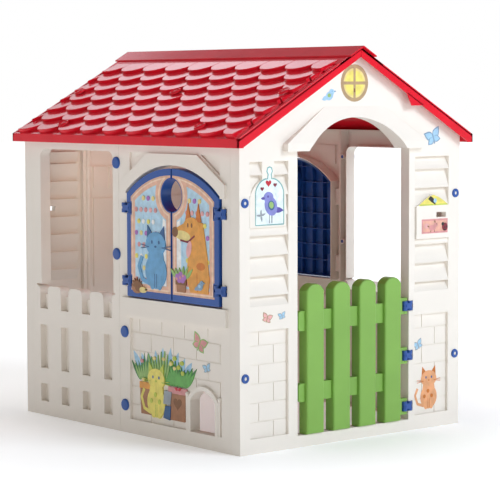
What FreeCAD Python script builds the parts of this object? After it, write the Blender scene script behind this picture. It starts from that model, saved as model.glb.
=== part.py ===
import FreeCAD, Part
import math
import os

from FreeCAD import Vector

# A child's plastic playhouse in millimetres. +Z is up, -Y is the front, and the
# origin is on the ground under the middle of the house. Every wall is a moulded
# pan: a thin skin with rims turned inwards round its edges and openings.
#
# Each wall is drawn in its own panel frame and then turned into place:
# u runs to the right as seen from outside, v runs inwards from the outer face
# (so relief that stands proud has a negative v), and z is up.

# ---------------------------------------------------------------- overall sizes
house_width = 790.0
house_depth = 960.0
eave_bottom = 781.0
roof_rise = 233.0
skin = 2.5
pan_depth = 32.0
corner_clearance = 3.0
base_height = 31.0
panel_seam_gap = 0.8
over = 1.0  # how far a cutting solid runs past the face it cuts
relief_bedding = 0.5  # how far raised relief is let into its wall
edge_tolerance = 0.01  # for picking out the edges on a face
along_share = 0.99  # an edge runs along v when this much of its direction does
cubic_mm_in_cm = 1000.0

# ------------------------------------------------------------------------ roof
roof_skin = 3.0
eave_overhang = 25.0
gable_overhang = 25.0
fascia_height = 19.0
verge_drop = 22.0
roof_seat_gap = 0.5
ridge_joint_gap = 1.0
cap_rise = 7.0
cap_run = 46.0
cap_overhang = 35.0
ridge_band_run = 92.0
ridge_band_rise = 3.0
tile_rows = 7
tile_rise = 11.0
tile_eave_margin = 10.0
tile_verge_margin = 20.0
tile_top_rise = 1.0
ridge_band_seat = 0.3
verge_foot = 2.0
soffit_tab_from_side = 164.0
soffit_tab_run = 64.0
soffit_tab_slant = 19.0

# --------------------------------------------------------------------- doorway
door_half = 201.0
door_spring = 769.0
door_arch_inset = 25.0
door_arch_rise = 85.0
door_arch_lap = 5.0  # the arch and the opening below it share this much height
hood_margin = 48.0
hood_proud = 19.0
hood_end_height = 20.0
hood_top = 885.0
pediment_slope = 0.658

# ----------------------------------------------- louvres and bricks by the door
left_corner_margin = 33.5
left_door_margin = 31.0
right_corner_margin = 42.5
right_door_margin = 22.0
louvre_top = 745.0
louvre_bottom = 378.0
top_slat = 34.0
slat_pitch = 51.2
slat_depth = 15.0
brick_low = 39.5
brick_high = 315.0
brick_recess = 8.0
brick_length = 97.0
course_height = 49.0
top_course = 0.77  # share of a course, and below of a brick, that is left at each edge
least_course = 0.5
even_row_start = 0.36
odd_row_start = 0.87
least_brick = 0.1
mortar_width = 3.0
mortar_depth = 2.0
plaque_corner_inset = 1.0
plaque_door_inset = 7.0
plaque_low = 578.0
plaque_high = 701.0
plaque_dome = 0.4
plaque_neck = 0.33
mailbox_low = 522.0
mailbox_eave = 609.0
mailbox_peak = 640.0
mailbox_proud = 6.0
mailbox_inset = 1.0
slot_width = 36.0
slot_height = 14.0
slot_centre_z = 585.0
slot_from_column_edge = 16.75

# ------------------------------------------- closed door moulded in the back wall
door_face_depth = 14.0
door_stile = 34.0
door_panel_depth = 4.0
grille_low = 640.0
grille_high = 700.0
grille_slots = 6
grille_bar = 14.0
false_post_radius = 8.0
false_post_ring = 2.0
false_post_ring_height = 5.0
false_post_rings = (140.0, 290.0, 420.0, 510.0, 610.0, 700.0)

# ---------------------------------------------------------- side window panels
side_seam_u = -28.5
window_side_margin = 42.25
window_shift = 3.25
window_arch_clearance = 3.5
shutter_low = 375.0
shutter_spring = 651.0
shutter_rise = 71.0
leaf_gap = 5.0
meeting_gap = 5.0
shutter_proud = 7.0
shutter_thickness = 33.0
shutter_skin = 2.5
peephole_radius = 43.5
peephole_z = 652.0
rib_pitch = 46.0
rib_depth = 14.0
window_hood_margin = 23.0
window_hood_end = 35.0
window_hood_top = 760.0
window_relief_proud = 7.5
sill_margin = 26.5
sill_low = 323.0
spandrel_gap = 8.0
spandrel_inset = 4.0
spandrel_depth = 6.0
side_brick_margin = 0.5
petdoor_from_end = 117.0
petdoor_half = 50.5
petdoor_low = 38.5
petdoor_spring = 121.5
petdoor_rise = 28.5
petdoor_border = 12.0
petdoor_post = 8.0
petdoor_knob = 6.0
petdoor_post_top = 14.0

# ---------------------------------------------------------- side picket panels
opening_seam_margin = 27.5
opening_end_margin = 43.0
opening_top = 761.0
opening_corner = 22.0
fence_top = 372.0
fence_over = 5.0
fence_gap_count = 4
fence_seam_margin = 55.5
fence_end_margin = 54.1
fence_gap_width = 38.0
fence_recess = 18.0
fence_back_top = 345.0
fence_notch_low = 306.0
fence_mid_low = 135.0
fence_mid_high = 260.0
fence_low_low = 39.5
fence_low_high = 91.0
picket_round = 16.0

# ------------------------------------------------------------------------ gate
picket_count = 4
picket_width = 60.0
gate_free_margin = 27.0
gate_hinge_margin = 35.0
picket_thickness = 32.0
picket_proud = 8.0
picket_crown = 0.6
picket_edge = 5.0
gate_ground_gap = 1.2
gate_height = 392.0
rail_setback = 9.5
rail_thickness = 16.0
rail_heights = ((303.0, 355.0), (118.0, 166.0))
rail_rounding = 8.0
lug_height = 44.0
gate_clip_heights = (342.0, 207.0, 68.0)

# -------------------------------------------------------------- hinge clips
pin_radius = 4.0
pin_clearance = 0.08
barrel_radius = 8.0
clip_height = 26.0
clip_lobe_height = 9.5
clip_waist = 1.5
clip_web_height = 15.0
clip_web = 5.0
notch_height = 28.0
gate_pin_inset = 7.0
gate_pin_depth = 4.0
shutter_pin_inset = 10.5
shutter_pin_depth = -3.0
swing_room = 3.5
pin_boss = 10.0
pin_seat_room = 1.5
pin_root = 2.0
shutter_clip_heights = (612.0, 416.0)

# ------------------------------------------------------------- fasteners
ring_screw_head = 12.0
ring_screw_rise = 4.0
ring_screw_round = 0.6  # edge radius as a share of the head's rise
ring_screw_socket = 5.0
ring_screw_shank = 4.0
ring_screw_inset = 17.0
ring_screw_heights = (641.5, 197.0)
bore_clearance = 0.3
seam_cap_radius = 16.0
seam_cap_rise = 5.0
seam_cap_round = 0.7
seam_cap_shank = 5.0
upper_cap_heights = (731.0, 484.0)
lower_cap_heights = (275.5, 76.0)
upper_cap_from_seam = 9.5
lower_cap_from_seam = 24.0
roof_screw_head = 9.0
roof_screw_rise = 2.5
roof_screw_shank = 3.5
roof_screw_length = 24.0
roof_screw_recess = 0.5
eave_screw_inset = 17.0
eave_screw_from_end = 174.0
gable_screw_inset = 20.0
gable_screw_from_side = 178.0

# ------------------------------------------------------------- stickers
sticker = 0.3
shutter_border = 18.0
meeting_border = 2.0
peephole_border = 3.0
sticker_notch_room = 2.0

# Pictures beside the door: span (0 left column, 1 right column, 2 hood to corner),
# distance from its middle as a share of its width, middle z, width as a share, height
# and depth of the surface.
column_pictures = {
    "bird_cage": (0, 0.0135, 657.0, 0.757, 148.0, 0.0),
    "band_butterfly": (0, -0.068, 344.5, 0.301, 35.0, 0.0),
    "small_band_butterfly": (0, 0.326, 347.5, 0.232, 29.0, 0.0),
    "gable_butterfly": (2, -0.2055, 795.5, 0.452, 58.0, 0.0),
    "mailbox_roof": (1, 0.033, 621.0, 0.68, 20.0, -mailbox_proud),
    "mailbox_front": (1, 0.033, 552.0, 0.757, 38.0, -mailbox_proud),
    "brick_butterfly": (1, -0.33, 228.5, 0.286, 36.0, brick_recess),
    "cat": (1, 0.0097, 111.0, 0.602, 123.0, brick_recess),
}
# Pictures in the gable: middle u and z, width and height.
gable_pictures = {
    "bird": (-90.0, 912.0, 46.0, 44.0),
    "round_window": (-1.5, 943.0, 99.0, 99.0),
}
# Butterflies by the pet door: distance from its middle, middle z, width and height.
petdoor_pictures = {
    "wall_butterfly": (-26.0, 276.5, 80.0, 56.0),
    "small_wall_butterfly": (12.0, 208.0, 36.0, 34.0),
}
flower_low = 55.0
flower_high = 251.0
flower_brick_margin = 15.5
flower_post_margin = 3.5

# ------------------------------------------------------------- derived sizes
half_width = house_width / 2
half_depth = house_depth / 2
corner_return = pan_depth + corner_clearance
panel_edge = half_depth - corner_return
door_arch_half = door_half - door_arch_inset
hood_half = door_half + hood_margin
eave_top = eave_bottom + fascia_height
roof_peak = eave_top + roof_rise
ridge_top = roof_peak + cap_rise
roof_run = half_width + eave_overhang
roof_slope = (roof_peak - eave_top) / roof_run
roof_angle = math.atan(roof_slope)
upright = 1.0 / math.cos(roof_angle)
side_wall_top = eave_top + roof_slope * eave_overhang - roof_skin * upright - roof_seat_gap
roof_end = half_depth + gable_overhang
eave_screw_half_span = half_depth - eave_screw_from_end
window_centre = (panel_edge + side_seam_u) / 2 + window_shift
shutter_half = (panel_edge - side_seam_u) / 2 - window_side_margin
window_hood_half = shutter_half + window_hood_margin
sill_half = shutter_half + sill_margin
spandrel_half = shutter_half - spandrel_inset
side_brick_half = shutter_half + side_brick_margin
petdoor_centre = panel_edge - petdoor_from_end
window_low = shutter_low - leaf_gap
petdoor_edge = petdoor_half + petdoor_border
parts = {}


# ------------------------------------------------------------------ primitives
def block(u0, u1, v0, v1, z0, z1):
    return Part.makeBox(u1 - u0, v1 - v0, z1 - z0, Vector(u0, v0, z0))


def upright_slab(points, v0, v1):
    """Extrude an outline of (u, z) points from depth v0 to depth v1."""
    corners = [Vector(u, v0, z) for u, z in points]
    face = Part.Face(Part.makePolygon(corners + corners[:1]))
    return face.extrude(Vector(0, v1 - v0, 0))


def cross_bar(points, u0, u1):
    """Extrude a cross-section of (v, z) points from u0 to u1."""
    corners = [Vector(u0, v, z) for v, z in points]
    face = Part.Face(Part.makePolygon(corners + corners[:1]))
    return face.extrude(Vector(u1 - u0, 0, 0))


def rod(radius, start, direction, length):
    return Part.makeCylinder(radius, length, start, direction)


def arched(centre, half, low, spring, rise, v0, v1, grow=0.0):
    """Upright sides and a segmental arch on top, grown outwards by grow."""
    radius = (half * half + rise * rise) / (2 * rise)
    centre_z = spring + rise - radius
    half = half + grow
    radius = radius + grow
    side_z = centre_z + math.sqrt(radius * radius - half * half)
    left = Vector(centre - half, v0, side_z)
    right = Vector(centre + half, v0, side_z)
    crown = Vector(centre, v0, centre_z + radius)
    low_left = Vector(centre - half, v0, low - grow)
    low_right = Vector(centre + half, v0, low - grow)
    edges = [
        Part.Arc(left, crown, right).toShape(),
        Part.LineSegment(right, low_right).toShape(),
        Part.LineSegment(low_right, low_left).toShape(),
        Part.LineSegment(low_left, left).toShape(),
    ]
    return Part.Face(Part.Wire(edges)).extrude(Vector(0, v1 - v0, 0))


def fused(shapes):
    return shapes[0].multiFuse(shapes[1:]).removeSplitter()


def mirrored(shape):
    return shape.mirror(Vector(0, 0, 0), Vector(1, 0, 0))


def rounded_upright(u0, u1, v0, v1, z0, z1, radius):
    """A block whose edges along v are rounded."""
    solid = block(u0, u1, v0, v1, z0, z1)
    along = [e for e in solid.Edges if abs(e.tangentAt(e.FirstParameter).y) > along_share]
    return solid.makeFillet(radius, along)


# ---------------------------------------------------------- turning into place
def on_front(shape):
    shape = shape.copy()
    shape.translate(Vector(0, -half_depth, 0))
    return shape


def on_back(shape):
    shape = shape.copy()
    shape.rotate(Vector(0, 0, 0), Vector(0, 0, 1), 180)
    shape.translate(Vector(0, half_depth, 0))
    return shape


def on_left(shape):
    shape = shape.copy()
    shape.rotate(Vector(0, 0, 0), Vector(0, 0, 1), -90)
    shape.translate(Vector(-half_width, 0, 0))
    return shape


def on_right(shape):
    shape = shape.copy()
    shape.rotate(Vector(0, 0, 0), Vector(0, 0, 1), 90)
    shape.translate(Vector(half_width, 0, 0))
    return shape


# ---------------------------------------------------------------- wall relief
def slat_levels():
    levels = [louvre_top, louvre_top - top_slat]
    while levels[-1] - slat_pitch > louvre_bottom:
        levels.append(levels[-1] - slat_pitch)
    levels.append(louvre_bottom)
    return levels


def louvre_cuts(u0, u1, grow=0.0):
    """Sloping slats that are deep at the top and flush at the bottom."""
    levels = slat_levels()
    cuts = []
    for high, low in zip(levels, levels[1:]):
        section = [
            (-over, high + grow),
            (slat_depth + grow, high + grow),
            (grow, low - grow),
            (-over, low - grow),
        ]
        cuts.append(cross_bar(section, u0 - grow, u1 + grow))
    return cuts


def course_levels():
    levels = []
    level = brick_high - course_height * top_course
    while level > brick_low + course_height * least_course:
        levels.append(level)
        level -= course_height
    return levels


def mortar_cuts(u0, u1):
    """Mortar lines in the floor of a brick recess, in running bond."""
    floor = brick_recess - over
    deep = brick_recess + mortar_depth
    half = mortar_width / 2
    levels = course_levels()
    cuts = [block(u0, u1, floor, deep, z - half, z + half) for z in levels]
    bounds = [brick_high] + levels + [brick_low]
    for row, (high, low) in enumerate(zip(bounds, bounds[1:])):
        start = odd_row_start if row % 2 else even_row_start
        u = u0 + brick_length * start
        while u < u1 - brick_length * least_brick:
            cuts.append(block(u - half, u + half, floor, deep, low, high))
            u += brick_length
    return cuts


def brick_cuts(u0, u1, grow=0.0):
    return block(u0 - grow, u1 + grow, -over, brick_recess + grow, brick_low - grow, brick_high + grow)


# ------------------------------------------------------------- gable walls
def gable_line(u):
    """Height of the wall's sloping top, just under the roof skin."""
    roof = eave_top + roof_slope * (roof_run - abs(u))
    return roof - roof_skin * upright - roof_seat_gap


def gable_points(inset):
    half = half_width - inset
    drop = inset * upright
    side = gable_line(half) - drop
    return [(-half, inset), (half, inset), (half, side), (0, gable_line(0) - drop), (-half, side)]


def door_hood(inset=0.0):
    """Pediment over the doorway that leans back to meet the gable."""
    half = hood_half - inset
    low = door_spring + inset
    end = low + hood_end_height - inset
    top = hood_top - inset
    narrow = half - (top - end) / pediment_slope
    outline = [(-half, low), (half, low), (half, end), (narrow, top), (-narrow, top), (-half, end)]
    front = -hood_proud + inset
    body = upright_slab(outline, front, inset + relief_bedding)
    lean = [(front, low), (front, end), (inset + relief_bedding, top), (inset + relief_bedding, low)]
    return body.common(cross_bar(lean, -half, half))


def doorway(v0, v1, grow=0.0):
    opening = block(-door_half - grow, door_half + grow, v0, v1, base_height - grow, door_spring + grow)
    arch = arched(0, door_arch_half, door_spring - door_arch_lap, door_spring, door_arch_rise, v0, v1, grow)
    return opening.fuse(arch)


def column_spans():
    """The two relief columns beside the door, from u0 to u1."""
    left = (-half_width + left_corner_margin, -door_half - left_door_margin)
    right = (door_half + right_door_margin, half_width - right_corner_margin)
    return left, right


def plaque(v0):
    """Domed pad with a neck, for a picture on the louvres."""
    column = column_spans()[0]
    u0 = column[0] + plaque_corner_inset
    u1 = column[1] - plaque_door_inset
    centre = (u0 + u1) / 2
    rise = (u1 - u0) * plaque_dome
    shoulder = plaque_high - rise
    dome = arched(centre, (u1 - u0) / 2, plaque_low, shoulder, rise, v0, slat_depth)
    half = (u1 - u0) * plaque_neck / 2
    return dome.fuse(block(centre - half, centre + half, v0, slat_depth, shoulder, louvre_top))


def mailbox(v0):
    column = column_spans()[1]
    u0 = column[0] + mailbox_inset
    u1 = column[1] - mailbox_inset
    outline = [
        (u0, mailbox_low),
        (u1, mailbox_low),
        (u1, mailbox_eave),
        ((u0 + u1) / 2, mailbox_peak),
        (u0, mailbox_eave),
    ]
    return upright_slab(outline, v0, slat_depth)


def mail_slot():
    u1 = column_spans()[1][1] - slot_from_column_edge
    z0 = slot_centre_z - slot_height / 2
    return block(u1 - slot_width, u1, -mailbox_proud - over, pan_depth + over, z0, z0 + slot_height)


def gate_pin_places():
    """(u, v) of the gate's own pin and of the pin in the door jamb."""
    leaf = door_half - leaf_gap - gate_pin_inset
    jamb = door_half + gate_pin_inset
    return (leaf, gate_pin_depth), (jamb, gate_pin_depth)


def upright_pin(u, v, z):
    foot = Vector(u, v, z - notch_height / 2 - pin_root)
    return rod(pin_radius, foot, Vector(0, 0, 1), notch_height + 2 * pin_root)


def with_pin_seat(wall, edge, place, z, side, back):
    """Add a boss, a notch and an upright pin beside an opening edged at u = edge."""
    pin_u, pin_v = place
    half = notch_height / 2
    far = pin_u + side * (barrel_radius + over)
    u0, u1 = sorted((edge, far + side * skin))
    boss = block(u0, u1, 0, back, z - half - pin_boss, z + half + pin_boss)
    u0, u1 = sorted((edge - side * over, far))
    notch_back = pin_v + barrel_radius + pin_seat_room
    notch = block(u0, u1, -2 * over, notch_back, z - half, z + half)
    return wall.fuse(boss).cut(notch).fuse(upright_pin(pin_u, pin_v, z))


def ring_screw_places():
    edge = half_width - ring_screw_inset
    return [(u, z) for u in (-edge, edge) for z in ring_screw_heights]


def ring_screw_bores():
    radius = ring_screw_shank + bore_clearance
    return [
        rod(radius, Vector(u, -over, z), Vector(0, 1, 0), corner_return + skin + 2 * over)
        for u, z in ring_screw_places()
    ]


def gable_screw_bores():
    """Bores down through the sloping rim for the roof screws at this gable."""
    radius = roof_screw_shank + bore_clearance
    bores = []
    for side in (-1, 1):
        u = side * (half_width - gable_screw_from_side)
        start = Vector(u, gable_screw_inset, roof_height(u))
        inward = Vector(-side * math.sin(roof_angle), 0, -math.cos(roof_angle))
        bores.append(rod(radius, start, inward, roof_screw_length + 2))
    return bores


def corner_returns():
    """Rims that turn the front and back walls round the house's corners."""
    rims = []
    for side in (-1, 1):
        outer = side * half_width
        inner = side * (half_width - skin)
        rims.append(block(min(outer, inner), max(outer, inner), 0, corner_return, 0, side_wall_top))
    return rims


def gable_wall(with_doorway):
    columns = column_spans()
    solid = upright_slab(gable_points(0.0), 0, pan_depth)
    solid = solid.fuse(door_hood())
    hollow = upright_slab(gable_points(skin), skin, pan_depth + over)
    hollow = hollow.fuse(door_hood(skin))
    backing = []
    for u0, u1 in columns:
        solid = solid.cut(louvre_cuts(u0, u1))
        solid = solid.cut(brick_cuts(u0, u1))
        solid = solid.cut(mortar_cuts(u0, u1))
        backing += louvre_cuts(u0, u1, skin)
        backing.append(brick_cuts(u0, u1, skin))
    solid = solid.multiFuse([plaque(0.0), mailbox(-mailbox_proud)] + corner_returns())
    if with_doorway:
        solid = solid.cut(doorway(-hood_proud - over, corner_return + over))
        backing.append(doorway(-hood_proud - over, pan_depth + over, skin))
    else:
        solid = solid.cut(door_relief_cuts())
        backing += door_relief_backing()
        backing += false_hinge_posts()
    hollow = hollow.cut(backing)
    wall = solid.cut(hollow)
    return wall.cut([mail_slot()] + ring_screw_bores() + gable_screw_bores())


def door_panels(v0, v1, grow=0.0):
    """Two sunk panels and a row of blind slots in the closed back door."""
    half = door_half - door_stile
    middle = (base_height + grille_low) / 2
    bands = [
        (base_height + door_stile, middle - door_stile / 2),
        (middle + door_stile / 2, grille_low - door_stile),
    ]
    shapes = [block(-half - grow, half + grow, v0, v1, z0 - grow, z1 + grow) for z0, z1 in bands]
    pitch = (2 * half + grille_bar) / grille_slots
    for index in range(grille_slots):
        u0 = -half + index * pitch - grow
        u1 = u0 + pitch - grille_bar + 2 * grow
        shapes.append(block(u0, u1, v0, v1, grille_low - grow, grille_high + grow))
    return shapes


def door_relief_cuts():
    """The closed door's face, set back in the wall, and its sunk panels."""
    face = doorway(-hood_proud - over, door_face_depth)
    deep = door_face_depth + door_panel_depth
    return [face] + door_panels(door_face_depth - over, deep)


def door_relief_backing():
    back = door_face_depth + skin
    face = doorway(-hood_proud - over, back, skin)
    return [face] + door_panels(back - over, back + door_panel_depth, skin)


def false_hinge_posts():
    posts = []
    for side in (-1, 1):
        foot = Vector(side * (door_half - 2 * false_post_radius), door_face_depth + skin, base_height)
        height = door_spring - base_height
        posts.append(rod(false_post_radius, foot, Vector(0, 0, 1), height))
        for z in false_post_rings:
            ring = Vector(foot.x, foot.y, z)
            collar = false_post_radius + false_post_ring
            posts.append(rod(collar, ring, Vector(0, 0, 1), false_post_ring_height))
    return posts


def make_gable_walls():
    front = gable_wall(True)
    jamb_pin = gate_pin_places()[1]
    for z in gate_clip_heights:
        front = with_pin_seat(front, door_half, jamb_pin, z, 1, pan_depth)
    parts["front_wall"] = on_front(front)
    parts["back_wall"] = on_back(gable_wall(False))


# ------------------------------------------------------------- side walls
def upper_cap_u():
    return side_seam_u - upper_cap_from_seam


def lower_cap_u():
    return side_seam_u + lower_cap_from_seam


def cap_places():
    """(u, z) of the round caps that join the two panels of one side wall."""
    upper = [(upper_cap_u(), z) for z in upper_cap_heights]
    lower = [(lower_cap_u(), z) for z in lower_cap_heights]
    return upper + lower


def cap_bores():
    radius = seam_cap_shank + bore_clearance
    return [rod(radius, Vector(u, -over, z), Vector(0, 1, 0), pan_depth + 2 * over) for u, z in cap_places()]


def cap_bosses(panel_u0, panel_u1):
    bosses = []
    for u, z in cap_places():
        if panel_u0 < u < panel_u1:
            bosses.append(rod(seam_cap_shank + skin, Vector(u, 0, z), Vector(0, 1, 0), pan_depth))
    return bosses


def side_pan(u0, u1):
    solid = block(u0, u1, 0, pan_depth, 0, side_wall_top)
    hollow = block(u0 + skin, u1 - skin, skin, pan_depth + over, skin, side_wall_top - skin)
    return solid, hollow


def window_hood(inset=0.0):
    half = window_hood_half - inset
    low = shutter_spring + inset
    end = shutter_spring + window_hood_end - inset
    top = window_hood_top - inset
    narrow = half - (top - end) / pediment_slope
    outline = [(-half, low), (half, low), (half, end), (narrow, top), (-narrow, top), (-half, end)]
    outline = [(window_centre + u, z) for u, z in outline]
    return upright_slab(outline, -window_relief_proud + inset, inset + relief_bedding)


def window_sill(inset=0.0):
    u0 = window_centre - sill_half + inset
    u1 = window_centre + sill_half - inset
    front = -window_relief_proud + inset
    return block(u0, u1, front, inset + relief_bedding, sill_low + inset, window_low - inset)


def spandrels(depth, grow=0.0):
    """Sunk triangles in the corners above the window hood."""
    narrow = window_hood_half - (window_hood_top - shutter_spring - window_hood_end) / pediment_slope
    inner = narrow + spandrel_gap - grow
    outer = spandrel_half + grow
    top = window_hood_top + grow
    low = top - (outer - inner) * pediment_slope
    shapes = []
    for side in (-1, 1):
        outline = [(inner, top), (outer, top), (outer, low)]
        outline = [(window_centre + side * u, z) for u, z in outline]
        shapes.append(upright_slab(outline, -over, depth))
    return shapes


def window_opening(v0, v1, grow=0.0):
    """Opening for the shutters, with more room over the arch for the turning leaves."""
    spring = shutter_spring + window_arch_clearance
    room = leaf_gap + grow
    return arched(window_centre, shutter_half, shutter_low, spring, shutter_rise, v0, v1, room)


def petdoor(v0, v1, grow=0.0):
    centre = petdoor_centre
    return arched(centre, petdoor_half, petdoor_low, petdoor_spring, petdoor_rise, v0, v1, grow)


def petdoor_surround():
    """Raised border round the pet door, with a capped post on each side."""
    depth = brick_recess + over
    border = petdoor(0.0, depth, petdoor_border)
    border = border.common(block(0, half_depth, 0, depth, brick_low - over, brick_high))
    top = petdoor_spring + petdoor_post_top
    pieces = [border]
    for side in (-1, 1):
        edge = petdoor_centre + side * (petdoor_edge + petdoor_post)
        u0, u1 = sorted((edge, edge - side * petdoor_post))
        pieces.append(block(u0, u1, over, depth, brick_low - over, top))
        knob = Vector((u0 + u1) / 2, brick_recess / 2, top)
        pieces.append(Part.makeSphere(petdoor_knob, knob))
    return pieces


def shutter_pin_places(side):
    """(u, v) of a shutter's own pin and of the pin beside the window opening."""
    leaf = window_centre + side * (shutter_half - shutter_pin_inset)
    jamb = window_centre + side * (shutter_half + leaf_gap + shutter_pin_inset)
    return (leaf, shutter_pin_depth), (jamb, shutter_pin_depth)


def window_panel():
    solid, hollow = side_pan(side_seam_u + panel_seam_gap / 2, panel_edge - panel_seam_gap / 2)
    u0 = window_centre - side_brick_half
    u1 = window_centre + side_brick_half
    solid = solid.multiFuse([window_hood(), window_sill()])
    hollow = hollow.multiFuse([window_hood(skin), window_sill(skin)])
    solid = solid.cut([brick_cuts(u0, u1)] + mortar_cuts(u0, u1) + spandrels(spandrel_depth))
    solid = solid.multiFuse(petdoor_surround())
    backing = [brick_cuts(u0, u1, skin)] + spandrels(spandrel_depth + skin, skin)
    backing.append(window_opening(-window_relief_proud - over, pan_depth + over, skin))
    backing.append(petdoor(-over, pan_depth + over, skin))
    hollow = hollow.cut(backing)
    solid = solid.cut(window_opening(-window_relief_proud - over, pan_depth + over))
    panel = solid.cut(petdoor(-over, pan_depth + over)).cut(hollow)
    panel = panel.multiFuse(cap_bosses(side_seam_u, panel_edge))
    for side in (-1, 1):
        jamb_pin = shutter_pin_places(side)[1]
        edge = window_centre + side * (shutter_half + leaf_gap)
        for z in shutter_clip_heights:
            panel = with_pin_seat(panel, edge, jamb_pin, z, side, pan_depth / 2)
    return panel.cut(cap_bores() + side_ring_screw_bores() + eave_screw_bores())


def fence_gap_places():
    first = side_seam_u - fence_seam_margin
    last = -panel_edge + fence_end_margin
    pitch = (first - last) / (fence_gap_count - 1)
    return [first - pitch * i for i in range(fence_gap_count)]


def fence_pockets(depth, grow=0.0):
    """Sunk pockets between the moulded pickets, open above the top rail."""
    half = fence_gap_width / 2 + grow
    bands = [
        (fence_low_low, fence_low_high),
        (fence_mid_low, fence_mid_high),
        (fence_notch_low, fence_top + fence_over),
    ]
    shapes = []
    for u in fence_gap_places():
        for low, high in bands:
            shapes.append(block(u - half, u + half, -over, depth, low - grow, high + grow))
    return shapes


def fence_rounding():
    """Material to take off the pickets' top corners and behind the notches."""
    cuts = []
    half = fence_gap_width / 2
    back = pan_depth + over
    shoulder = fence_top - picket_round
    top = fence_top + fence_over
    for u in fence_gap_places():
        cuts.append(block(u - half, u + half, -over, back, fence_back_top, top))
        for side in (-1, 1):
            edge = u + side * half
            u0, u1 = sorted((edge, edge + side * picket_round))
            corner = block(u0, u1, -over, back, shoulder, top)
            centre = Vector(edge + side * picket_round, -2 * over, shoulder)
            cuts.append(corner.cut(rod(picket_round, centre, Vector(0, 1, 0), back + 3 * over)))
    return cuts


def big_opening(v0, v1, grow=0.0):
    u0 = -panel_edge + opening_end_margin - grow
    u1 = side_seam_u - opening_seam_margin + grow
    low = fence_top - grow
    below = low - 2 * (opening_corner + grow)
    tall = rounded_upright(u0, u1, v0, v1, below, opening_top + grow, opening_corner + grow)
    return tall.cut(block(u0 - over, u1 + over, v0 - over, v1 + over, below - over, low))


def picket_panel():
    solid, hollow = side_pan(-panel_edge + panel_seam_gap / 2, side_seam_u - panel_seam_gap / 2)
    solid = solid.cut(fence_pockets(fence_recess))
    solid = solid.cut(fence_rounding())
    solid = solid.cut(big_opening(-over, pan_depth + over))
    backing = fence_pockets(fence_recess + skin, skin)
    backing.append(big_opening(-over, pan_depth + over, skin))
    for u in fence_gap_places():
        half = fence_gap_width / 2 + picket_round
        low = fence_back_top - skin
        backing.append(block(u - half, u + half, -over, pan_depth + over, low, fence_top + fence_over))
    hollow = hollow.cut(backing)
    panel = solid.cut(hollow)
    panel = panel.multiFuse(cap_bosses(-panel_edge, side_seam_u))
    return panel.cut(cap_bores() + side_ring_screw_bores() + eave_screw_bores())


def side_ring_screw_bores():
    """Bores in the end rims of a side wall for the corner screws."""
    radius = ring_screw_shank + bore_clearance
    bores = []
    for side in (-1, 1):
        for z in ring_screw_heights:
            start = Vector(side * (panel_edge + over), ring_screw_inset, z)
            bores.append(rod(radius, start, Vector(-side, 0, 0), skin + 3 * over))
    return bores


def eave_screw_bores():
    radius = roof_screw_shank + bore_clearance
    bores = []
    for u in (-eave_screw_half_span, eave_screw_half_span):
        start, inward = roof_screw_line(-half_width + eave_screw_inset, u)
        depth = start.x + half_width
        origin = Vector(u, depth, start.z)
        bores.append(rod(radius, origin, Vector(0, inward.x, inward.z), roof_screw_length + 2))
    return bores


def make_side_walls():
    window = window_panel()
    pickets = picket_panel()
    parts["left_window_panel"] = on_left(window)
    parts["left_picket_panel"] = on_left(pickets)
    parts["right_window_panel"] = on_right(window)
    parts["right_picket_panel"] = on_right(pickets)


# ------------------------------------------------------------------------ roof
def roof_height(x):
    return eave_top + roof_slope * (roof_run - abs(x))


def roof_screw_line(x, y):
    """Where a roof screw enters the left slope at x, and its direction."""
    start = Vector(x, y, roof_height(x))
    inward = Vector(math.sin(roof_angle), 0, -math.cos(roof_angle))
    return start, inward


def roof_screw_places():
    """(x, y) of the screws in the left slope."""
    eave_x = -half_width + eave_screw_inset
    gable_x = -half_width + gable_screw_from_side
    gable_y = half_depth - gable_screw_inset
    eave = [(eave_x, y) for y in (-eave_screw_half_span, eave_screw_half_span)]
    gable = [(gable_x, y) for y in (-gable_y, gable_y)]
    return eave + gable


def roof_section(points, y0, y1):
    corners = [Vector(x, y0, z) for x, z in points]
    face = Part.Face(Part.makePolygon(corners + corners[:1]))
    return face.extrude(Vector(0, y1 - y0, 0))


def tile_row_spans():
    """Where each row of tiles starts and ends across the left slope."""
    first = -roof_run + tile_eave_margin
    row_run = (-ridge_band_run - first) / tile_rows
    return [(first + row * row_run, first + (row + 1) * row_run) for row in range(tile_rows)]


def tile_steps():
    """Overlapping rows of tiles, each thickest at its lower edge."""
    end = roof_end - tile_verge_margin
    rows = []
    for low_x, high_x in tile_row_spans():
        section = [
            (low_x, roof_height(low_x) - over),
            (low_x, roof_height(low_x) + tile_rise),
            (high_x, roof_height(high_x) + tile_top_rise),
            (high_x, roof_height(high_x) - over),
        ]
        rows.append(roof_section(section, -end, end))
    return rows


def tile_hollows():
    """Room under the tile rows, so that the roof is one skin all over."""
    end = roof_end - tile_verge_margin - roof_skin
    thick = roof_skin * upright
    hollows = []
    for low_x, high_x in tile_row_spans():
        low_x += roof_skin
        section = [
            (low_x, roof_height(low_x) - thick - over),
            (low_x, roof_height(low_x) + tile_rise - thick - tile_top_rise),
            (high_x, roof_height(high_x) - thick),
            (high_x, roof_height(high_x) - thick - over),
        ]
        hollows.append(roof_section(section, -end, end))
    return hollows


def ridge_band():
    """Plain band below the ridge cap."""
    low_x = -ridge_band_run
    high_x = -ridge_joint_gap / 2
    section = [
        (low_x, roof_height(low_x) - over),
        (low_x, roof_height(low_x) + ridge_band_rise),
        (high_x, roof_height(high_x) + ridge_band_rise),
        (high_x, roof_height(high_x) - over),
    ]
    return roof_section(section, -roof_end, roof_end)


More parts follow.
